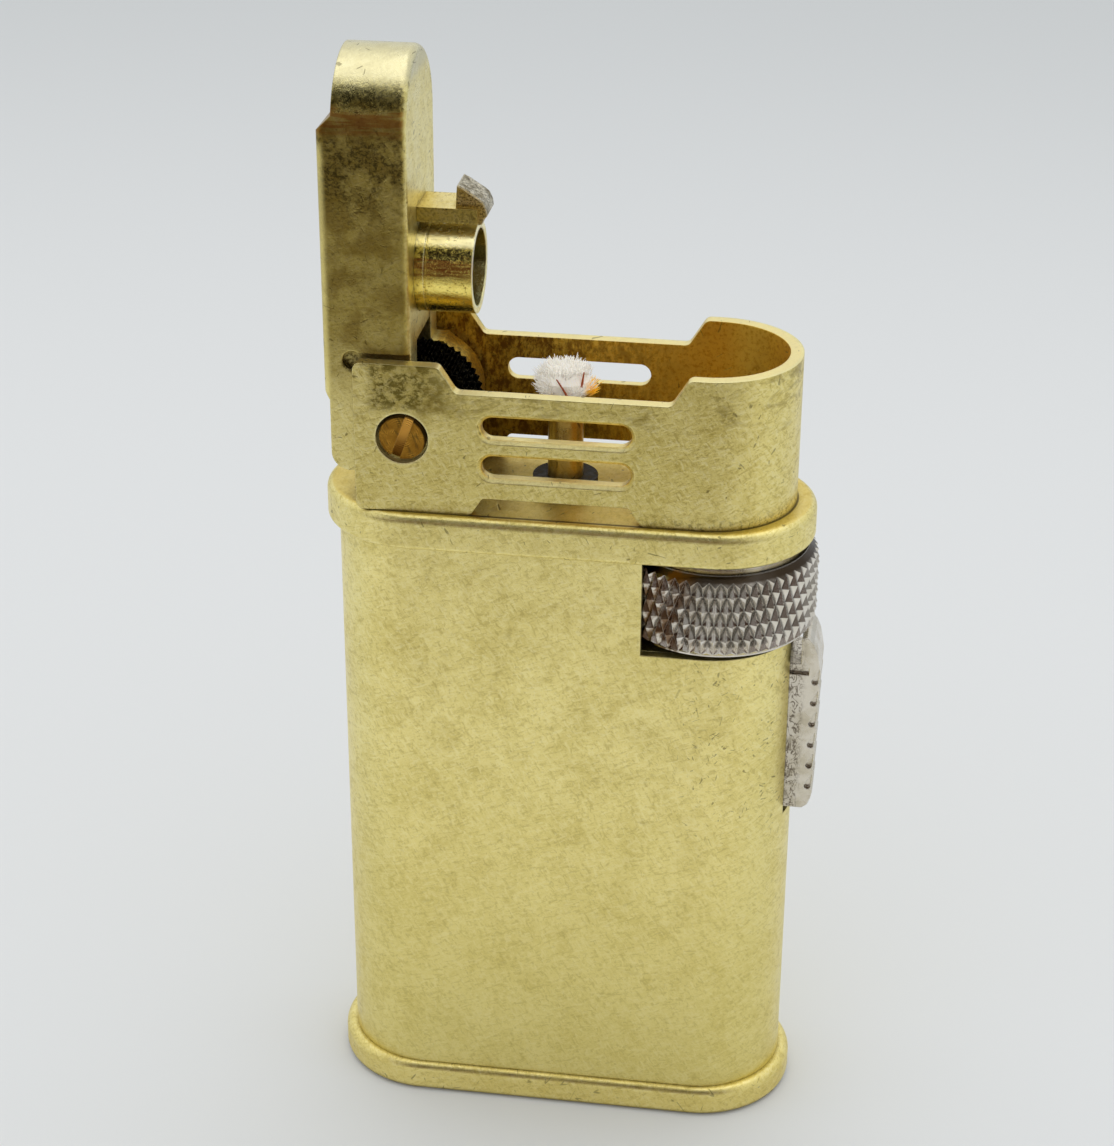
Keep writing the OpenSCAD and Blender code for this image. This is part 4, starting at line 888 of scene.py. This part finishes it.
class LIGHTER_OT_add_wick(bpy.types.Operator):
    """Add the frayed lint and the marker threads on top of the wick"""

    bl_idname = "lighter.add_wick"
    bl_label = "Add wick"

    def execute(self, context):
        look = context.scene.lighter_wick
        low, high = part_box("wick")
        tube_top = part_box("wick_tube")[1][2]
        axis = Vector(((low[0] + high[0]) / 2, (low[1] + high[1]) / 2, tube_top))
        top = high[2]
        radius = (high[0] - low[0]) / 2
        give(cotton("Cotton cord, braided", look, axis), "wick")

        # Every lock is a root, a heading, a length and how far its strands stray at the root
        rng = random.Random(7)
        locks = []
        for index in range(look.crown):
            out = math.sqrt((index + 0.5) / look.crown)
            around = GOLDEN_ANGLE * index
            side = Vector((math.cos(around), math.sin(around), 0))
            tilt = math.radians(2 + 16 * out + rng.uniform(-7, 7))
            root = Vector((axis.x, axis.y, top - 0.00015)) + side * (radius * 0.9 * out)
            heading = side * math.sin(tilt) + Vector((0, 0, math.cos(tilt)))
            locks.append((root, heading, rng.uniform(0.6, 1.0) * look.rise, 0.00024))
        for index in range(look.sides):
            # The left is frayed higher and fuller than the right
            left = index % 3 != 0
            around = math.radians((180 if left else 0) + rng.uniform(-62, 62))
            side = Vector((math.cos(around), math.sin(around), 0))
            tilt = math.radians(rng.uniform(12, 52) if left else rng.uniform(28, 66))
            root = Vector((axis.x, axis.y, axis.z + rng.uniform(0.0002, 0.0011 if left else 0.0006)))
            root += side * radius * 0.94
            heading = side * math.sin(tilt) + Vector((0, 0, math.cos(tilt)))
            reach = (look.spread - radius) / max(math.sin(tilt), 0.62)
            locks.append((root, heading, reach * rng.uniform(0.8, 1.0), 0.00022))
        bm = bmesh.new()
        for root, heading, length, stray in locks:
            # A lock grows alone and is then joined, which is faster
            lock = bmesh.new()
            curl = Vector((rng.uniform(-1, 1), rng.uniform(-1, 1), rng.uniform(-0.7, 0.3))) * 0.25
            for _ in range(look.strands):
                wander = Vector((rng.gauss(0, 1), rng.gauss(0, 1), rng.gauss(0, 0.6)))
                wander *= min(1.0, 1.6 / wander.length)
                grow_strand(lock, root + wander * stray, (heading + wander * 0.11).normalized(),
                    length * rng.uniform(0.7, 1.0), look.strand_radius * rng.uniform(0.7, 1.2),
                    curl + wander * 0.12)
            part = bpy.data.meshes.new("lock")
            lock.to_mesh(part)
            lock.free()
            bm.from_mesh(part)
            bpy.data.meshes.remove(part)
        lint = finished("wick_lint", bm, cotton("Cotton lint, frayed", look, axis))

        # Cotton thread, dyed: dull red, thicker than real so that it shows
        s = Shader("Cotton thread, dyed")
        ply = s.noise((0.08, 0.08, 0.4), 3.0, 0.6)
        red = s.close({"Base Color": s.over(look.thread, "#8A3A20", s.span(ply, 0.3, 0.7)),
            "Roughness": 0.9, "Normal": s.relief(None, (ply, 0.02))})
        # Each thread's root from the wick's top, its lean to the right and its length, in millimetres
        bm = bmesh.new()
        for place, lean, length in (((0.55, -1.78, -2.0), -0.52, 2.0), ((1.35, -1.2, -1.0), 0.12, 1.2)):
            root = Vector((axis.x, axis.y, top)) + Vector(place) * MM
            grow_strand(bm, root, Vector((lean, 0, 1)).normalized(), length * MM, 0.00011,
                Vector((lean * 0.15, 0, 0)), 6, 8)
        threads = finished("wick_threads", bm, red)

        for obj in (lint, threads):
            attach(obj, "body")
            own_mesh(obj)
        return {"FINISHED"}


def add_board(name, colour, place, turn, across, along):
    """Adds a matt board that only reflections see. Sizes are half lengths in metres."""
    s = Shader("Card, " + name)
    bm = bmesh.new()
    bmesh.ops.create_grid(bm, x_segments=1, y_segments=1, size=1.0,
        matrix=Matrix.Translation(place) @ Matrix.Rotation(math.radians(turn), 4, "X")
        @ Matrix.Diagonal((across, along, 1, 1)))
    board = finished(name, bm, s.close({"Color": colour, "Roughness": 1.0}, "BsdfDiffuse"))
    board.visible_camera = False
    board.visible_shadow = False
    board.visible_diffuse = False


def add_soft_box(scene, power):
    """Adds the soft box above and behind the lighter."""
    lamp = bpy.data.lights.new("soft_box", "AREA")
    lamp.shape = "RECTANGLE"
    lamp.size, lamp.size_y = SOFT_BOX_SIZE
    lamp.energy = power
    lamp.color = SOFT_BOX_TINT
    box = bpy.data.objects.new("soft_box", lamp)
    turn = (SOFT_BOX_PLACE - SOFT_BOX_AIM).to_track_quat("Z", "Y").to_matrix().to_4x4()
    box.matrix_world = Matrix.Translation(SOFT_BOX_PLACE) @ turn
    scene.collection.objects.link(box)


def set_world(scene, strength):
    """Sets an even light that is a little brighter and warmer from above."""
    world = bpy.data.worlds.new("Studio")
    scene.world = world
    world.use_nodes = True
    tree = world.node_tree
    tree.nodes.clear()
    up = add_node(tree, "SeparateXYZ", (add_node(tree, "TexCoord", output="Generated"),), 2)
    ramp = add_node(tree, "ValToRGB", (up,), None)
    low, high = ramp.color_ramp.elements
    low.color = wide(SKY_LOW)
    high.position = SKY_FULL
    high.color = wide(SKY_HIGH)
    back = add_node(tree, "Background", {"Color": ramp.outputs[0], "Strength": strength})
    add_node(tree, "OutputWorld", (back,), None)


def add_camera(scene):
    """Adds the camera where the photograph was taken."""
    yaw, pitch, roll = (math.radians(a) for a in (YAW, PITCH, ROLL))
    ahead = Vector((-math.sin(yaw) * math.cos(pitch), math.cos(yaw) * math.cos(pitch),
        -math.sin(pitch)))
    right = Vector((math.cos(yaw), math.sin(yaw), 0))
    up = right.cross(ahead)
    cam_x = right * math.cos(roll) + up * math.sin(roll)
    cam_y = up * math.cos(roll) - right * math.sin(roll)
    data = bpy.data.cameras.new("camera")
    data.lens = LENS
    data.sensor_width = SENSOR
    data.clip_start = 0.005
    camera = bpy.data.objects.new("camera", data)
    turn = Matrix((cam_x, cam_y, -ahead)).transposed().to_4x4()
    camera.matrix_world = Matrix.Translation(Vector(EYE_MM) * MM) @ turn
    scene.collection.objects.link(camera)
    scene.camera = camera


class LIGHTER_OT_set_stage(bpy.types.Operator):
    """Set the floor, the boards, the light, the world and the camera"""

    bl_idname = "lighter.set_stage"
    bl_label = "Set stage"

    def execute(self, context):
        look = context.scene.lighter_stage
        scene = context.scene

        # Paper floor, matt: pale to the camera, and dark in front in reflections
        s = Shader("Paper floor, matt")
        unseen = s.add("Math", (1.0, s.add("LightPath", output="Is Camera Ray")), operation="SUBTRACT")
        s.colour = s.over(look.floor, look.far, s.span(s.y, 60.0, 420.0))
        # A painted pool of light on the floor just in front of the lighter
        s.cover(look.near, s.span(s.y, -16.0, -45.0))
        s.cover(look.front, s.span(s.y, -118.0, -185.0), unseen)
        bm = bmesh.new()
        bmesh.ops.create_grid(bm, x_segments=1, y_segments=1, size=FLOOR_HALF)
        floor = finished("floor", bm, s.close({"Base Color": s.colour, "Roughness": 0.9,
            "Specular IOR Level": 0.1}))

        if look.use_cards:
            # One stands low in front and one lies above it
            add_board("card", look.card, (0, -0.25, 0.11), 90, 0.26, 0.06)
            add_board("canopy", look.canopy, (0, -0.475, 0.47), 0, 0.36, 0.275)
        add_soft_box(scene, look.key)
        set_world(scene, look.world)
        add_camera(scene)
        scene.view_settings.view_transform = "Standard"
        return {"FINISHED"}


class LIGHTER_PT_looks(bpy.types.Panel):
    """Lists the steps and what each one uses"""

    bl_label = "Lighter"
    bl_idname = "LIGHTER_PT_looks"
    bl_space_type = "VIEW_3D"
    bl_region_type = "UI"
    bl_category = "Lighter"

    def draw(self, context):
        for group in GROUPS:
            values = getattr(context.scene, group)
            box = self.layout.box()
            for key in values.__annotations__:
                box.prop(values, key)
        for operator in OPERATORS:
            self.layout.operator(operator.bl_idname)


GROUPS = {
    "lighter_brass": LighterBrass,
    "lighter_steel": LighterSteel,
    "lighter_wick": LighterWick,
    "lighter_stage": LighterStage,
}
OPERATORS = (
    LIGHTER_OT_finish_body,
    LIGHTER_OT_finish_guard,
    LIGHTER_OT_finish_lid,
    LIGHTER_OT_finish_snuffer,
    LIGHTER_OT_finish_screws,
    LIGHTER_OT_finish_flint_wheel,
    LIGHTER_OT_finish_nickel,
    LIGHTER_OT_finish_inner,
    LIGHTER_OT_add_wick,
    LIGHTER_OT_set_stage,
)


def register():
    """Registers the classes and puts the groups on the scene."""
    for name, group in GROUPS.items():
        bpy.utils.register_class(group)
        setattr(bpy.types.Scene, name, PointerProperty(type=group))
    for operator in OPERATORS:
        bpy.utils.register_class(operator)
    bpy.utils.register_class(LIGHTER_PT_looks)


def unregister():
    """Takes everything off again."""
    bpy.utils.unregister_class(LIGHTER_PT_looks)
    for operator in reversed(OPERATORS):
        bpy.utils.unregister_class(operator)
    for name, group in reversed(GROUPS.items()):
        delattr(bpy.types.Scene, name)
        bpy.utils.unregister_class(group)


def main():
    """Builds the looks step by step."""
    register()
    for operator in OPERATORS:
        group, name = operator.bl_idname.split(".")
        getattr(getattr(bpy.ops, group), name)()


if __name__ == "__main__":
    main()
